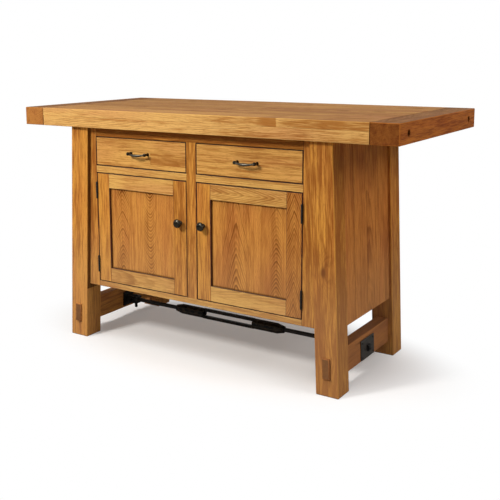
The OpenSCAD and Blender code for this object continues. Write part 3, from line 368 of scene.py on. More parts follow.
def sawn(shape, seed, cut="plain", lengthwise=None, stave=None, boards=None, parted=None, end_grain=1.0):
    """Gives every board of a shape its grain, tone and dark end grain. The grain runs along the
    board, or along the axis given. stave is the least and greatest length of glued staves, and
    parted gives the tone of a place. boards says, for a board's number, its cut and finish, its
    tone, the trend and bow by which that grows with the distance and its square, or its tones at
    some places along it, its knot, the scores that part it, and its hearts from side to side: each
    strip's far edge, its pith and the pith's depth, which way its arches point, how fast it tapers
    and how far its figure spreads."""
    for layer in ("end", "stain_and_shade", "arris", "taper", "spread"):
        if not shape.faces.layers.float.get(layer):
            shape.faces.layers.float.new(layer)
    shape.loops.layers.float.new("tone")
    shape.loops.layers.float_vector.new("grain")
    shape.loops.layers.float_vector.new("knot")
    for number in range(len(loose_parts(shape))):
        board = (boards or {}).get(number, {})
        tones, hearts = board.get("tones", ()), board.get("hearts", ())
        knot = Vector(board.get("knot", NO_KNOT))
        draw = random.Random(seed * 1000 + number)
        part = loose_parts(shape)[number]
        middle, length, width, forward, sideways, thick = board_axes(part, lengthwise)
        joints = []
        if stave and not tones:
            reach = -length / 2 + draw.uniform(0.3, 1.0) * stave[1]
            while reach < length / 2 - stave[0] / 2:
                joints.append(reach)
                reach += draw.uniform(*stave)
        seams = [(heart[0] - 0.5) * width for heart in hearts][:-1]
        cuts = [(middle + joint * forward, forward) for joint in joints]
        cuts += [(middle + seam * sideways, sideways) for seam in seams]
        cuts += [(middle + place * forward, forward) for place, shade in tones]
        for point, way in [*cuts, *board.get("scores", ())]:
            scored(shape, part, point, way)
            part = loose_parts(shape)[number]
        end, taper, spread = (shape.faces.layers.float[layer] for layer in ("end", "taper", "spread"))
        tone_layer = shape.loops.layers.float["tone"]
        grain_layer, knot_layer = (shape.loops.layers.float_vector[layer] for layer in ("grain", "knot"))

        def strip_of(face):
            place = face.calc_center_median()
            strip = (sum(joint < (place - middle).dot(forward) for joint in joints),
                     sum(seam < (place - middle).dot(sideways) for seam in seams))
            return (*strip, parted(place)) if parted else strip

        drawn = {}
        for strip in sorted({strip_of(face) for face in part}, key=str):
            off, below, narrows = CUTS[board.get("cut", cut)]
            start = Vector((draw.uniform(0, 40), draw.choice((-1, 1)) * draw.uniform(*off) * width,
                            draw.choice((-1, 1)) * draw.uniform(*below)))
            shade = draw.uniform(-1, 1)
            way, fades = 1, FIGURE_SPREAD
            if hearts:
                pith, depth, way, narrows, fades = hearts[strip[1]][1:]
                start.y, start.z = (0.5 - pith) * width, depth
            shade = strip[2] if parted else 0 if tones else board.get("tone", shade)
            drawn[strip] = start, shade, way, narrows, fades
        for face in part:
            start, shade, way, narrows, fades = drawn[strip_of(face)]
            face[taper], face[spread] = narrows, fades
            face[end] = end_grain * float(abs(face.normal.dot(forward)) > END_FACING)
            face.material_index = board.get("finish", 0)
            for corner in face.loops:
                offset, from_knot = corner.vert.co - middle, corner.vert.co - knot
                far = offset.dot(forward)
                corner[grain_layer] = start + Vector((way * far, offset.dot(sideways), offset.dot(thick)))
                corner[tone_layer] = (shade + board.get("trend", 0) * far + board.get("bow", 0) * far ** 2
                                      + faded(tones, far))
                corner[knot_layer] = (from_knot.dot(forward) * ALONG_KNOT, from_knot.dot(sideways), 0)
    return shape


UPWARD, EVENNESS = 0.8, 0.45


def shaded_above(shape):
    """Gives the upper faces the second finish, a darker one as painted shade, and evens out their tones."""
    tone = shape.loops.layers.float["tone"]
    for face in shape.faces:
        if face.normal.z > UPWARD:
            face.material_index = 1
            for corner in face.loops:
                corner[tone] *= EVENNESS
    return shape


worktop_edge = timber("worktop_edge", (0.68, 0.388, 0.122), (0.38, 0.152, 0.033), (0.20, 0.065, 0.014),
                      ring_width=0.007, figure=0.4, variety=0.30)
# Painted shade: the upper faces get this darker, duller copy of the edge wood
worktop_shaded_top = timber("worktop_shaded_top", (0.465, 0.236, 0.072), (0.275, 0.120, 0.033), (0.12, 0.043, 0.011),
                      ring_width=0.007, figure=0.5, variety=0.3, gloss=0.05, dullness=0.6)
# The front board's tones at places from its left end to its right
FRONT_TONES = ((-0.70, -0.7), (-0.55, -1.4), (0.10, -1.6), (0.285, -0.9), (0.325, 1.4), (0.362, 1.6),
               (0.367, -1.4), (0.395, -0.5), (0.45, 0.3), (0.51, 0.7), (0.53, 2.2), (0.585, 2.0), (0.615, 1.0),
               (0.70, 0.9))
TOP_ARRIS, TOP_RIM, SEAM_DUST = 0.0022, 0.006, 0.35
# A rounded arris looks at least this much to its side, and less than this much straight on
TILTED, STRAIGHT_ON = 0.15, 0.98


top = shaded_above(sawn(softened("top_boards", TOP_ARRIS, 3), 11, "plain", 0, stave=(0.35, 0.8),
                        boards={0: {"tones": FRONT_TONES}}))
top_low, top_high = reach_of(top.faces)[:2]
# Dust darkens the little grooves between the boards
darken_faces(top, SEAM_DUST, lambda face, place: top_low.y + TOP_RIM < place.y < top_high.y - TOP_RIM
        and 0.2 < face.normal.z < STRAIGHT_ON and abs(face.normal.y) > TILTED)
placed("worktop_boards", top, (worktop_edge, worktop_shaded_top), "root", "worktop_wood", "top_boards")
for number, edge in enumerate(("front", "rear")):
    strip = sawn(softened(f"top_edge_{edge}", TOP_ARRIS, 3), 25 + number, "plain", 0,
                 boards={0: {"tone": -1.6, "trend": 0.6, "bow": 2.8}})
    placed(f"edge_strip_{edge}", strip, (worktop_edge,), "root", "worktop_wood", f"top_edge_{edge}")

# Breadboard ends
# A cross-grain beam closes each end of the worktop, stained darker than the boards. Its own end
# grain faces the front and rear, and two recessed bolts pull it on.
end_wood = timber("end_wood", (0.43, 0.138, 0.024), (0.22, 0.058, 0.011), (0.115, 0.029, 0.006),
                  ring_width=0.008, figure=0.45, variety=0.2)
pale_end = timber("pale_end", (0.45, 0.182, 0.044), (0.26, 0.086, 0.020), (0.13, 0.039, 0.010),
                  ring_width=0.008, figure=0.45, variety=0.2)
# Painted shade: the beams' upper faces get this darker copy of their wood
end_shaded_top = timber("end_shaded_top", (0.26, 0.117, 0.037), (0.15, 0.060, 0.017), (0.08, 0.026, 0.007),
                  ring_width=0.008, figure=0.5, variety=0.15, gloss=0.05, dullness=0.6)
BEAM_ARRIS, JOINT_STAIN, JOINT_REACH = 0.0028, 0.7, 0.003
boards_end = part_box("top_boards")[1].x
for number, (side, finish, end_grain, tone) in enumerate((("left", pale_end, 0.1, -1.0),
                                                          ("right", end_wood, 0.9, 0.2))):
    beam = shaded_above(sawn(softened(f"breadboard_{side}", BEAM_ARRIS, 3), 31 + number, "plain", 1,
                             boards={0: {"tone": tone}}, end_grain=end_grain))
    # Stain darkens its joint with the boards
    inward = 1 if side == "left" else -1
    darken_faces(beam, JOINT_STAIN, lambda face, place: abs(place.x) < boards_end + JOINT_REACH
            and TILTED < face.normal.x * inward < STRAIGHT_ON)
    placed(f"breadboard_end_{side}", beam, (finish, end_shaded_top), "root", "end_wood", f"breadboard_{side}")

# Legs
# Four splayed posts with rounded, worn arrises. Each is one sawn length, and the grain follows
# its lean.
frame_wood = timber("frame_wood", (0.64, 0.285, 0.050), (0.31, 0.104, 0.018), (0.14, 0.040, 0.008),
                    ring_width=0.0075, figure=0.42, variety=0.22)
LEG_ARRIS, FOOT_LINE, FOOT_CONTACT_SHADE, LEG_CORNER_SHADE, CABINET_BOTTOM = 0.0032, 0.004, 0.45, 0.72, 0.2
LEGS = {"front_left": (-0.4, NO_KNOT), "front_right": (1.2, (0.5302, -0.346, 0.4186)),
        "rear_left": (0.3, NO_KNOT), "rear_right": (0.8, NO_KNOT)}


def facing_in(face, place):
    """Whether a leg's face looks at the legs of the other end."""
    return abs(face.normal.x) > 0.9 and face.normal.x * place.x < 0


for number, (place, (tone, knot)) in enumerate(LEGS.items()):
    leg = sawn(softened(f"leg_{place}", LEG_ARRIS, 3), 41 + number, "straight", 2,
               boards={0: {"tone": tone, "knot": knot}})
    # Painted shade darkens a front leg's inner face beside the face frame, and a painted contact
    # shadow darkens the lowest faces of each foot
    scored(leg, [face for face in leg.faces if facing_in(face, face.calc_center_median())],
           CABINET_BOTTOM * UP, UP)
    darken_faces(leg, FOOT_CONTACT_SHADE, lambda face, place: place.z < FOOT_LINE)
    if place.startswith("front"):
        darken_faces(leg, LEG_CORNER_SHADE, lambda face, place: facing_in(face, place) and place.z > CABINET_BOTTOM,
                worn=True)
    placed(f"post_{place}", leg, (frame_wood,), "root", "frame_wood", f"leg_{place}")

# End stretchers
# A rail joins the two legs of each end, low down. Its tenons go through the legs and stand out
# a little, pillowed over and dark with stain.
rail_wood = timber("rail_wood", (0.35, 0.108, 0.018), (0.21, 0.057, 0.009), (0.10, 0.024, 0.004),
                   ring_width=0.0075, figure=0.45, variety=0.2)
TENON_PROUD, TENON_ARRIS = 0.008, 0.0026
for number, (side, finish, tip_stain, upper_shade) in enumerate((("left", frame_wood, 0.22, 0),
                                                                 ("right", rail_wood, 0.15, 0.25))):
    rail_low, rail_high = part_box(f"side_stretcher_{side}")

    def tenon_tip(edge):
        return not any(rail_low.y + TENON_PROUD / 2 <= v.co.y <= rail_high.y - TENON_PROUD / 2
                       for v in edge.verts)

    shape = sawn(softened(f"side_stretcher_{side}", TENON_ARRIS, 3, tenon_tip), 51 + number, "straight", 1)
    layer = shape.faces.layers.float["stain_and_shade"]
    for face in shape.faces:
        if not rail_low.y + TENON_PROUD < face.calc_center_median().y < rail_high.y - TENON_PROUD:
            face[layer] = tip_stain
            face.material_index = 1
        # Painted shade: the right rail's upper faces are darkened, standing in for shade from the cabinet
        # above
        elif face.normal.z > UPWARD:
            face[layer] = upper_shade
    placed(f"end_rail_{side}", shape, (finish, rail_wood), "root", "frame_wood", f"side_stretcher_{side}")

# Side boards
# Tongued and grooved boards fill each end between the legs. They stand upright, and each has
# its own tone and a fine joint to the next.
panel_wood = timber("panel_wood", (0.53, 0.195, 0.040), (0.30, 0.094, 0.018), (0.14, 0.040, 0.009),
                    ring_width=0.0075, figure=0.6, variety=0.3)
for number, side in enumerate(("left", "right")):
    shape = sawn(softened(f"side_boards_{side}", 0.0010), 61 + number, "plain", 2)
    darken_faces(shape, 0.6, lambda face, place: face[shape.faces.layers.float["arris"]])
    placed(f"end_boards_{side}", shape, (panel_wood,), "root", "panel_wood", f"side_boards_{side}")

# Face frame
# Stiles, rails and a centre upright, tenoned together flush, frame the drawers and doors. The
# outer stiles are cut to the lean of the legs, and painted shade fills every line between door and frame.
LINE_DEPTH = 0.004
# How dark the painted shade lies in the gaps, and on the edges behind them
GAP_SHADE_AMOUNT, EDGE_SHADE_AMOUNT = 0.85, 0.75


def gap_shaded(shape, front):
    """Painted shade in the gaps, on the front arrises and on the edges just behind a front."""
    scored(shape, list(shape.faces), (front + LINE_DEPTH) * REAR, REAR)
    darken_faces(shape, GAP_SHADE_AMOUNT, lambda face, place: place.y < front + LINE_DEPTH and face.normal.y > -0.95)
    darken_faces(shape, EDGE_SHADE_AMOUNT, lambda face, place: abs(face.normal.y) < 0.5, worn=True)
    return shape


pale_rail = timber("pale_rail", (0.68, 0.385, 0.105), (0.44, 0.195, 0.046), (0.26, 0.098, 0.022),
                   ring_width=0.0074, figure=0.9, variety=0.3)
# The top rail's dark tone is partly painted shade, from the worktop above it
FRONT_RAILS = {"stile_left": (frame_wood, 0.7), "stile_right": (frame_wood, 1.0),
               "mullion": (frame_wood, 0.8), "top_rail": (frame_wood, 2.2),
               "middle_rails": (pale_rail, -0.5), "bottom_rail": (pale_rail, 0.6)}
for number, (rail, (finish, tone)) in enumerate(FRONT_RAILS.items()):
    shape = sawn(softened(f"face_{rail}", 0.0012), 71 + number, "straight",
                 boards={board: {"tone": tone} for board in range(2)})
    gap_shaded(shape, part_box(f"face_{rail}")[0].y)
    if rail == "top_rail":
        # Painted shade: it is darkened all over, standing in for the worktop's shadow above it
        darken_faces(shape, 0.22, lambda face, place: True, worn=True)
    placed(f"front_{rail}", shape, (finish,), "root", "frame_wood", f"face_{rail}")

# Back
# A fixed frame with two flat panels closes the back between the rear legs. The panels are held
# in grooves, and their edges are darkened by stain and by painted shade from the frame.
PANEL_GROOVE, PANEL_SLACK, BACK_STILE = 0.009, 0.001, 0.060


def panel_edges_shaded(shape, panels, lines):
    """Stain and painted shade gathered on panels inside their frames, where the frames shade them.
    lines says how far in from the groove each line of it reaches, and how thick it lies."""
    layer = shape.faces.layers.float["stain_and_shade"]
    for low, high in panels:

        def panel_faces():
            return [face for face in shape.faces
                    if low.x - PANEL_SLACK < face.calc_center_median().x < high.x + PANEL_SLACK]

        for inset, thickness in lines:
            for axis, way in ((0, RIGHT), (2, UP)):
                for end in (low[axis] + PANEL_GROOVE + inset, high[axis] - PANEL_GROOVE - inset):
                    scored(shape, panel_faces(), way * end, way)
        for face in panel_faces():
            place = face.calc_center_median()
            depth = min(place.x - low.x, high.x - place.x, place.z - low.z, high.z - place.z) - PANEL_GROOVE
            face[layer] = next((thickness for inset, thickness in lines if depth < inset), 0.0)
    return shape


placed("back_rails", sawn(softened("back_frame", 0.0008), 81, "straight"), (frame_wood,), "root", "frame_wood",
       "back_frame")
back_low, back_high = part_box("back_panels")
gap_half = BACK_STILE / 2 - PANEL_GROOVE
back_boards = panel_edges_shaded(sawn(softened("back_panels", 0.0005), 82, "crown", 2),
                     [(back_low, Vector((-gap_half, 0, back_high.z))),
                      (Vector((gap_half, 0, back_low.z)), back_high)],
                     ((0.0022, 0.70), (0.006, 0.3)))
placed("back_boards", back_boards, (panel_wood,), "root", "panel_wood", "back_panels")

# Inside of the cupboard
# Plain sides, floor, partition and two shelves on steel pegs, in a paler wood with a matt
# finish, and the battens and blocks that the eye seldom meets.
inside_wood = timber("inside_wood", (0.60, 0.345, 0.135), (0.42, 0.215, 0.072), (0.24, 0.10, 0.032),
                     ring_width=0.009, figure=0.4, variety=0.2)
for number, (node, axis) in enumerate((("case_side_left", 2), ("case_side_right", 2), ("case_floor", 0),
                                       ("centre_partition", 2), ("shelves", 0), ("slide_spacers", 1),
                                       ("top_batten_left", 1), ("top_batten_right", 1))):
    placed(f"inner_{node}", sawn(softened(node, 0.0006), 91 + number, "plain", axis), (inside_wood,), "root",
           "inside_wood", node)

# Drawers
# Each drawer has a slab front that lies flush in its opening, glued up from two or three boards,
# and a grooved box of thin boards on steel slides.
drawer_wood = timber("drawer_wood", (0.66, 0.350, 0.092), (0.37, 0.145, 0.030), (0.19, 0.062, 0.013),
                     ring_width=0.0075, figure=0.45, variety=0.32)
# Where the boards of the fronts meet, as shares of the height from below and the width from the left
SEAM_SHARE, FOOT_SHARE, STAVE_SHARE = {"left": 0.56, "right": 0.50}, 0.16, 0.62
for number, side in enumerate(("left", "right")):
    front_low, front_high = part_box(f"drawer_{side}_front")
    # The left front's lower board is pale, with one darker stave at its right end
    seam = front_low.z + SEAM_SHARE[side] * (front_high.z - front_low.z)
    foot = front_low.z + FOOT_SHARE * (front_high.z - front_low.z)
    patch = front_low.x + STAVE_SHARE * (front_high.x - front_low.x)

    def slab_tone(place):
        if side == "right":
            return -0.35 if place.z > seam else -0.15
        if place.z > seam:
            return 0.0
        return 1.0 if place.x > patch and place.z > foot else -0.75

    planes = [(seam * UP, UP)]
    if side == "left":
        planes += [(foot * UP, UP), (patch * RIGHT, RIGHT)]
    slab = sawn(softened(f"drawer_{side}_front", 0.0012), 103 + number, "plain", 0,
                boards={0: {"scores": planes}}, parted=slab_tone)
    placed(f"drawer_slab_{side}", gap_shaded(slab, front_low.y), (drawer_wood,), f"drawer_{side}", "frame_wood",
           f"drawer_{side}_front")
    placed(f"drawer_case_{side}", sawn(softened(f"drawer_{side}_box", 0.0006), 111 + number, "plain"),
           (inside_wood,), f"drawer_{side}", "inside_wood", f"drawer_{side}_box")

# Doors
# Two stiles and two rails with a flat panel in their groove. The panels are wide boards sawn so
# that the growth rings show as tall pointed arches, and stain and painted shade darken their edges.
door_wood = timber("door_wood", (0.61, 0.265, 0.055), (0.40, 0.146, 0.029), (0.19, 0.058, 0.011),
                   ring_width=0.0074, figure=1.15, variety=0.2)
STILE_LEFT, RAIL_BELOW, RAIL_ABOVE, STILE_RIGHT = range(4)
DOOR_BOARDS = {
    "left": {STILE_LEFT: {"tone": -0.3},
             RAIL_BELOW: {"tone": 0.6, "trend": -5.0, "finish": 1, "cut": "plain"},
             RAIL_ABOVE: {"tone": -0.9, "finish": 1, "cut": "straight"},
             STILE_RIGHT: {"tone": 0.2}},
    "right": {STILE_LEFT: {"tone": -0.2},
              RAIL_BELOW: {"tone": -0.9, "finish": 1, "cut": "plain"},
              RAIL_ABOVE: {"tone": 0.3, "finish": 1, "hearts": ((1, 0.50, 0.008, 1, 0.25, 0.050),)},
              STILE_RIGHT: {"tone": 1.4, "finish": 2, "hearts": ((1, 0.50, 0.012, 1, 0.40, 0.060),)}}}
PANELS = {"left": (137, {"tone": -0.3, "hearts": ((0.42, 0.20, 0.012, 1, 0.45, 0.045),
                                                  (1, 0.615, 0.014, -1, 0.58, 0.036))}),
          "right": (132, {"tone": 0.3, "hearts": ((0.64, 0.34, 0.010, 1, 0.27, 0.075),
                                                  (1, 0.84, 0.010, 1, 0.50, 0.032))})}
for number, side in enumerate(("left", "right")):
    rails = sawn(softened(f"door_{side}_frame", 0.0012), 121 + number, "straight", boards=DOOR_BOARDS[side])
    placed(f"door_rails_{side}", gap_shaded(rails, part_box(f"door_{side}_frame")[0].y),
           (frame_wood, pale_rail, door_wood), f"door_{side}", "frame_wood", f"door_{side}_frame")
    seed, board = PANELS[side]
    panel = sawn(softened(f"door_{side}_panel", 0.0004), seed, "crown", 2, boards={0: board})
    panel_edges_shaded(panel, [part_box(f"door_{side}_panel")], ((0, 0.70), (0.0018, 0.70), (0.005, 0.25)))
    placed(f"door_board_{side}", panel, (door_wood,), f"door_{side}", "panel_wood", f"door_{side}_panel")

# Hinges, knobs and pulls
# Butt hinges with round-tipped pins, mushroom knobs, and bow pulls between two ball-headed posts,
# cast and darkened like old pewter, and rubbed brighter where hands touch them.
metal_skin, given, result = new_effect("metal_skin", ("Dark", "Bright"), ("Sheen",))
spot = metal_skin.nodes.new("ShaderNodeTexCoord").outputs["Object"]
tarnish = cloud(metal_skin, spot, (70, 70, 70), 4)
hammer = cloud(metal_skin, spot, (210, 210, 210), 2)
speck = cloud(metal_skin, spot, (1600, 1600, 1600), 2)
reckon = partial(calc, metal_skin)
bright = rise(metal_skin, reckon("MULTIPLY_ADD", reckon("SUBTRACT", hammer, 0.5), 0.6, tarnish), 0.42, 0.70)
bright = reckon("MAXIMUM", bright, look_up(metal_skin, "arris").outputs["Fac"])
dull = reckon("MULTIPLY_ADD", reckon("SUBTRACT", tarnish, 0.5), 0.35, reckon("SUBTRACT", 1.0, given["Sheen"]))
feed(metal_skin, result, (between(metal_skin, bright, given["Dark"], given["Bright"]), dull,
                          reckon("MULTIPLY_ADD", speck, 0.3, hammer)))


def metal(name, dark, bright, sheen, metallic, relief=0.0002, gloss=0.5):
    """A metal finish, from its dark hollows to its rubbed high spots."""
    material = finished(name, metal_skin, {"Dark": dark, "Bright": bright, "Sheen": sheen}, gloss,
                        strength=0.5, relief=relief)
    material.node_tree.nodes["Principled BSDF"].inputs["Metallic"].default_value = metallic
    return material


def turned(shape, profile, foot, way, steps=32, smooth=True):
    """Adds a turned form to a shape: profile is radius and distance pairs along way from foot."""
    known = set(shape.faces)
    out = way.orthogonal().normalized()
    points = [shape.verts.new(foot + way * far + out * radius) for radius, far in profile]
    edges = [shape.edges.new(pair) for pair in zip(points, points[1:])]
    bmesh.ops.spin(shape, geom=points + edges, cent=foot, axis=way, dvec=(0, 0, 0), angle=math.tau,
                   steps=steps, use_merge=True)
    made = [face for face in shape.faces if face not in known]
    bmesh.ops.remove_doubles(shape, verts=list(dict.fromkeys(v for face in made for v in face.verts)),
                             dist=1e-6)
    made = [face for face in shape.faces if face not in known]
    bmesh.ops.recalc_face_normals(shape, faces=made)
    for face in made:
        face.smooth = smooth
    return made


pewter = metal("pewter", (0.020, 0.017, 0.012), (0.085, 0.076, 0.060), 0.62, 1.0)
knob_pewter = metal("knob_pewter", (0.029, 0.026, 0.019), (0.064, 0.057, 0.044), 0.95, 1.0, relief=0.00002)
black_iron = metal("black_iron", (0.0055, 0.0046, 0.0036), (0.013, 0.011, 0.0085), 0.46, 0.0, 0.0003, 0.25)
KNOB_PROFILE = ((0, 0.0290), (0.0048, 0.0288), (0.0092, 0.0279), (0.0127, 0.0263), (0.0151, 0.0239),
                (0.0163, 0.0214), (0.0165, 0.0199), (0.0159, 0.0184), (0.0132, 0.0167), (0.0093, 0.0152),
                (0.0064, 0.0134), (0.0052, 0.0110), (0.0050, 0.0082), (0.0056, 0.0056), (0.0070, 0.0040),
                (0.0082, 0.0029), (0.0082, 0.0004), (0.0078, 0), (0, 0))
POST_PROFILE = ((0, 0.0260), (0.0030, 0.0255), (0.0053, 0.0236), (0.0064, 0.0212), (0.0065, 0.0192),
                (0.0060, 0.0168), (0.0050, 0.0150), (0.0045, 0.0130), (0.0045, 0.0080), (0.0050, 0.0045),
                (0.0058, 0.0028), (0.0060, 0.0010), (0.0058, 0), (0, 0))
BALL_RADIUS, BALL_REACH, BOW_RISE, BOW_SAG = 0.0065, 0.0195, 0.006, 0.0040
BOW_STATIONS, BOW_STOUT, BOW_TALL, BOW_SWELL = 28, 0.0030, 0.0036, 0.5
RUBBED_SHARE = 0.72
for side in ("left", "right"):
    knob_low, knob_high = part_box(f"door_{side}_knob")
    knob_middle = (knob_low + knob_high) / 2
    knob_middle.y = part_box(f"door_{side}_frame")[0].y
    knob = bmesh.new()
    turned(knob, KNOB_PROFILE, knob_middle, -REAR, 40)
    placed(f"knob_{side}", knob, (knob_pewter,), f"door_{side}", "pewter", f"door_{side}_knob")

    # The bow swells in its middle, where it is rubbed bright, and at its ends, and sags a little
    pull_low, pull_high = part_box(f"drawer_{side}_pull")
    pull_middle = (pull_low + pull_high) / 2
    pull_middle.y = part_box(f"drawer_{side}_front")[0].y
    half_span = (pull_high.x - pull_low.x) / 2 - BALL_RADIUS
    bow_radius = (half_span ** 2 + BOW_RISE ** 2) / (2 * BOW_RISE)
    bow_middle = pull_middle + (bow_radius - BALL_REACH - BOW_RISE) * REAR
    half_turn = math.asin(half_span / bow_radius)
    pull = bmesh.new()
    rubbed = pull.faces.layers.float.new("arris")
    ring = bmesh.ops.create_circle(pull, cap_ends=True, segments=16, radius=1.0)["verts"]
    for station in range(BOW_STATIONS + 1):
        share = station / BOW_STATIONS * 2 - 1
        turn = share * half_turn
        # It is thickest at its middle and ends, and stands out and sags most at its middle
        thickness = 1 + BOW_SWELL * (2 * share ** 2 - 1) ** 2
        outward = Vector((math.sin(turn), -math.cos(turn), 0))
        forward = Vector((math.cos(turn), math.sin(turn), 0))
        basis = Matrix((thickness * BOW_STOUT * outward, thickness * BOW_TALL * UP,
                        forward)).transposed().to_4x4()
        basis.translation = bow_middle + bow_radius * outward - BOW_SAG * (1 - share ** 2) * UP
        if station == 0:
            bmesh.ops.transform(pull, matrix=basis, verts=ring)
        else:
            edges = [edge for edge in pull.edges if all(v in ring for v in edge.verts)]
            made = bmesh.ops.extrude_edge_only(pull, edges=edges)["geom"]
            ring = [v for v in made if isinstance(v, bmesh.types.BMVert)]
            bmesh.ops.transform(pull, matrix=basis @ last_basis.inverted(), verts=ring)
            for face in made:
                if isinstance(face, bmesh.types.BMFace):
                    face[rubbed] = max(0.0, 1 - (share / RUBBED_SHARE) ** 2)
        last_basis = basis
    bmesh.ops.contextual_create(pull, geom=ring)
    bmesh.ops.recalc_face_normals(pull, faces=pull.faces)
    for face in pull.faces:
        face.smooth = True
    for end in (-1, 1):
        turned(pull, POST_PROFILE, pull_middle + end * half_span * RIGHT, -REAR, 24)
    placed(f"pull_{side}", pull, (pewter,), f"drawer_{side}", "pewter", f"drawer_{side}_pull")


def refinished(material, *nodes):
    """CAD nodes whose shape is right, in a better finish."""
    for node in nodes:
        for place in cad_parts[node].material_slots:
            place.material = material


zinc = metal("zinc_steel", (0.42, 0.43, 0.44), (0.62, 0.63, 0.65), 0.62, 1.0, relief=0.0001)
refinished(black_iron, "hinge_frame_leaves", "door_left_hinge_leaves", "door_right_hinge_leaves", "hinge_pins")
refinished(pewter, "door_catches")
refinished(zinc, "shelf_pegs", "slide_rails", "slide_middles_left", "slide_middles_right",
           "drawer_left_runners", "drawer_right_runners")

# Bolts, plates and nails
# Hexagon-headed bolts sit deep in the breadboard ends. An iron plate, held by four hand-made
# nails, spreads the pull of each tie rod's square nut on the stretcher.
plate_iron = metal("plate_iron", (0.016, 0.0135, 0.0105), (0.040, 0.034, 0.027), 0.46, 0.0, 0.0006, 0.3)
TIE_LEVEL, PIN_BELOW, PIN_INSET = 0.091, 0.0342, 0.016
BOLT_LEVEL, BOLT_INSET, BOLT_SUNK, BOLT_SHANK = 0.8795, 0.072, 0.020, 0.1365
NAIL_ACROSS, NAIL_UP, NUT_X, NUT_SIZE = 0.045, 0.026, 0.57848, (0.009, 0.022, 0.022)
# The plates follow the outer faces of the legs, and lie a little behind them
LEG_OUTSIDE, LEG_LEAN, PLATE_BEHIND = 0.5935, 0.04418, 0.0155
SHANK_PROFILE = ((0, 0), (0.004, 0), (0.004, BOLT_SHANK), (0, BOLT_SHANK))
HEAD_PROFILE = ((0, 0), (0.0105, 0), (0.0110, 0.0006), (0.0110, 0.0060), (0.0100, 0.0070), (0, 0.0070))
NAIL_PROFILE = ((0, 0.0030), (0.0016, 0.0027), (0.0030, 0.0016), (0.0040, 0), (0, -0.0004))
PIN_PROFILE = ((0, 0), (0.0055, 0), (0.006, 0.0010), (0.006, 0.0484), (0.0088, 0.0484), (0.0090, 0.0494),
               (0.0086, 0.0524), (0.0060, 0.0536), (0, 0.0538))
placed("tie_plates", softened("stretcher_plates", 0.0010), (plate_iron,), "root", "black_iron",
       "stretcher_plates")
plate_low, plate_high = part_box("stretcher_plates")
frame_middle = (plate_low.y + plate_high.y) / 2
pin_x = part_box("tie_rod_right")[1].x - PIN_INSET
end_low, end_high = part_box("breadboard_right")
bolt_seat = end_high.x - BOLT_SUNK
bolts = bmesh.new()
nails = bmesh.new()
for side in (-1, 1):
    outward = side * RIGHT
    for y in (end_low.y + BOLT_INSET, end_high.y - BOLT_INSET):
        turned(bolts, SHANK_PROFILE, Vector((side * (bolt_seat - BOLT_SHANK), y, BOLT_LEVEL)), outward, 16)
        turned(bolts, HEAD_PROFILE, Vector((side * bolt_seat, y, BOLT_LEVEL)), outward, 6, smooth=False)
    # A nail's head is a low dome with hammered facets
    for y in (frame_middle - NAIL_ACROSS, frame_middle + NAIL_ACROSS):
        for z in (TIE_LEVEL - NAIL_UP, TIE_LEVEL + NAIL_UP):
            face_x = LEG_OUTSIDE - LEG_LEAN * z - PLATE_BEHIND
            turned(nails, NAIL_PROFILE, Vector((side * face_x, y, z)), outward, 8, smooth=False)
    turned(bolts, PIN_PROFILE, Vector((side * pin_x, frame_middle, TIE_LEVEL - PIN_BELOW)), UP, 24)
    place = Matrix.Translation((side * NUT_X, frame_middle, TIE_LEVEL))
    nut = bmesh.ops.create_cube(bolts, size=1.0, matrix=place @ Matrix.Diagonal((*NUT_SIZE, 1)))
    outer_corners = [v for v in nut["verts"] if v.co.x * side > NUT_X]
    bevelled(bolts, outer_corners, 0.0035, 1, "VERTICES")
placed("bolts_nuts_and_pins", bolts, (black_iron,), "root", "black_iron", "bolts_and_nuts")
placed("plate_nail_heads", nails, (black_iron,), "root", "black_iron", "plate_nails")

# Tie rod and turnbuckle
# A forked anchor bolt goes through each stretcher, an eyed rod is pinned in each fork, and a
# forged turnbuckle with an open middle draws the two rods together.
for side in ("left", "right"):
    placed(f"anchor_{side}", softened(f"tie_anchor_{side}", 0.0012), (black_iron,), "root", "black_iron",
           f"tie_anchor_{side}")
    placed(f"rod_{side}", softened(f"tie_rod_{side}", 0.0010), (black_iron,), "root", "black_iron",
           f"tie_rod_{side}")

forged_iron = metal("forged_iron", (0.0022, 0.0018, 0.0014), (0.040, 0.031, 0.022), 0.46, 0.0, 0.0003, 0.10)
SLOT_HALF, BAR_OFFSET, BAR_ENTRY, BAR_DEPTH, BAR_HEIGHT = 0.116, 0.01475, 0.006, 0.014, 0.0115
RIDGE_LENGTH, BORE_CLEAR, RIDGE_ARRIS, BAR_ARRIS = 0.015, 0.010, 0.0013, 0.0016
buckle_low, buckle_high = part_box("turnbuckle_body")
buckle_middle = (buckle_low + buckle_high) / 2
collar = (buckle_high.x - buckle_low.x) / 2 - SLOT_HALF
COLLAR_PROFILE = ((0.0082, 0), (0.0190, 0), (0.0205, 0.0015), (0.0205, collar - 0.030),
                  (0.0198, collar - 0.027), (0.0142, collar - 0.004), (0.0135, collar - 0.001),
                  (0.0125, collar), (0.0082, collar), (0.0082, 0))
buckle = bmesh.new()
rubbed = buckle.faces.layers.float.new("arris")
for side in (-1, 1):
    outward = side * RIGHT
    made = turned(buckle, COLLAR_PROFILE, buckle_middle + SLOT_HALF * outward, outward, 10, smooth=False)
    ridges = dict.fromkeys(edge for face in made for edge in face.edges
                           if abs(edge.verts[0].co.x - edge.verts[1].co.x) > RIDGE_LENGTH
                           and min((v.co - buckle_middle).yz.length for v in edge.verts) > BORE_CLEAR)
    # The ridges are painted lighter: rubbed iron, and painted highlight along the edges
    for face in bevelled(buckle, ridges, RIDGE_ARRIS, 1):
        face[rubbed] = 1
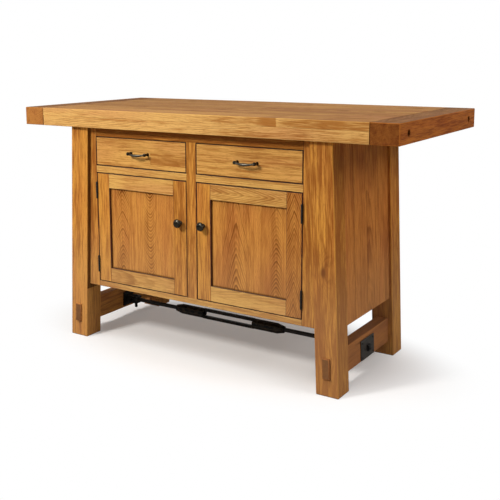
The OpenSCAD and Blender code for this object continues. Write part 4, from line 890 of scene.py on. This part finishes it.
for up in (-1, 1):
    place = Matrix.Translation(buckle_middle + up * BAR_OFFSET * UP)
    bar = bmesh.ops.create_cube(buckle, size=1.0, matrix=place @ Matrix.Diagonal(
        (2 * SLOT_HALF + BAR_ENTRY, BAR_DEPTH, BAR_HEIGHT, 1)))
    bevelled(buckle, dict.fromkeys(edge for v in bar["verts"] for edge in v.link_edges), BAR_ARRIS, 2)
placed("turnbuckle", buckle, (forged_iron,), "turnbuckle", "black_iron", "turnbuckle_body")

# Studio
# A pale sweep runs out to pure white. A soft box stands to the left of the front, the ceiling is
# broad and bright, and weak lights fill the right end and the back.
floor_shape = bmesh.new()
bmesh.ops.create_grid(floor_shape, x_segments=2, y_segments=2, size=30)
floor_mesh = bpy.data.meshes.new("studio_floor")
floor_shape.to_mesh(floor_mesh)
floor_shape.free()
studio_floor = bpy.data.objects.new("studio_floor", floor_mesh)
bpy.context.scene.collection.objects.link(studio_floor)
floor_paint = bpy.data.materials.new("floor_paint")
floor_paint.use_nodes = True
floor_mesh.materials.append(floor_paint)
tree = floor_paint.node_tree
painted = tree.nodes["Principled BSDF"]
seen = tree.nodes.new("ShaderNodeLightPath").outputs["Is Camera Ray"]
feed(tree, [painted.inputs[title] for title in ("Base Color", "Emission Color", "Emission Strength",
                                                "Roughness", "Specular IOR Level")],
     (between(tree, seen, (0.50, 0.485, 0.47), (0.74, 0.735, 0.73)),
      between(tree, seen, (0, 0, 0), (0.165, 0.154, 0.146)), 1, 1, 0))
# The sweep is white beyond an oval round the island
OVAL_LONG, OVAL_DEEP, OVAL_FORWARD = 0.95, 0.50, 0.07
floor_spot = tree.nodes.new("ShaderNodeSeparateXYZ")
tree.links.new(tree.nodes.new("ShaderNodeTexCoord").outputs["Object"], floor_spot.inputs[0])
floor_x = calc(tree, "DIVIDE", floor_spot.outputs[0], OVAL_LONG)
floor_y = calc(tree, "DIVIDE", calc(tree, "ADD", floor_spot.outputs[1], OVAL_FORWARD), OVAL_DEEP)
floor_far = calc(tree, "SQRT", calc(tree, "MULTIPLY_ADD", floor_x, floor_x,
                                    calc(tree, "MULTIPLY", floor_y, floor_y)))
white = tree.nodes.new("ShaderNodeEmission")
sweep = tree.nodes.new("ShaderNodeMixShader")
feed(tree, sweep.inputs, (calc(tree, "MULTIPLY", seen, rise(tree, floor_far, 0.60, 1.05)),
                          painted.outputs[0], white.outputs[0]))
tree.links.new(sweep.outputs[0], tree.nodes["Material Output"].inputs["Surface"])

room = bpy.data.worlds.new("room")
bpy.context.scene.world = room
room.use_nodes = True
tree = room.node_tree
walls = tree.nodes["Background"]
walls.inputs["Color"].default_value = (1, 1, 1, 1)
rays = tree.nodes.new("ShaderNodeLightPath").outputs
shown = calc(tree, "MAXIMUM", rays["Is Camera Ray"], calc(tree, "MAXIMUM", rays["Is Glossy Ray"],
                                                         rays["Is Transmission Ray"]))
tree.links.new(rise(tree, shown, 0, 1, 0.15, 1.0), walls.inputs["Strength"])


def lamp(name, energy, place, target, size=None, mirrored=False):
    """A square lamp of a size, or a sun without one, at a place and aimed at a target. Only a
    mirrored one shows in the gloss of the pieces."""
    data = bpy.data.lights.new(name, "AREA" if size else "SUN")
    data.energy = energy
    if size:
        data.shape = "SQUARE"
        data.size = size
    holder = bpy.data.objects.new(name, data)
    bpy.context.scene.collection.objects.link(holder)
    toward = (Vector(target) - Vector(place)).to_track_quat("-Z", "Y").to_matrix().to_4x4()
    holder.matrix_world = Matrix.Translation(place) @ toward
    holder.visible_glossy = mirrored
    return data


key = lamp("key_light", 97, (-1.15, -2.9, 2.5), (0, -0.33, 0.6), 0.55, mirrored=True)
key.color = (1.0, 0.985, 0.955)
ceiling = lamp("ceiling_light", 1.0, (-0.45, -1.05, 2.76), (0, 0, 0), mirrored=True)
ceiling.angle = math.radians(30)
lamp("fill_light", 52, (3.2, -0.3, 2.5), (0.6, -0.07, 0.4), 1.6)
lamp("rear_light", 24, (0.4, 3.6, 1.9), (0, 0.2, 0.2), 2.0)
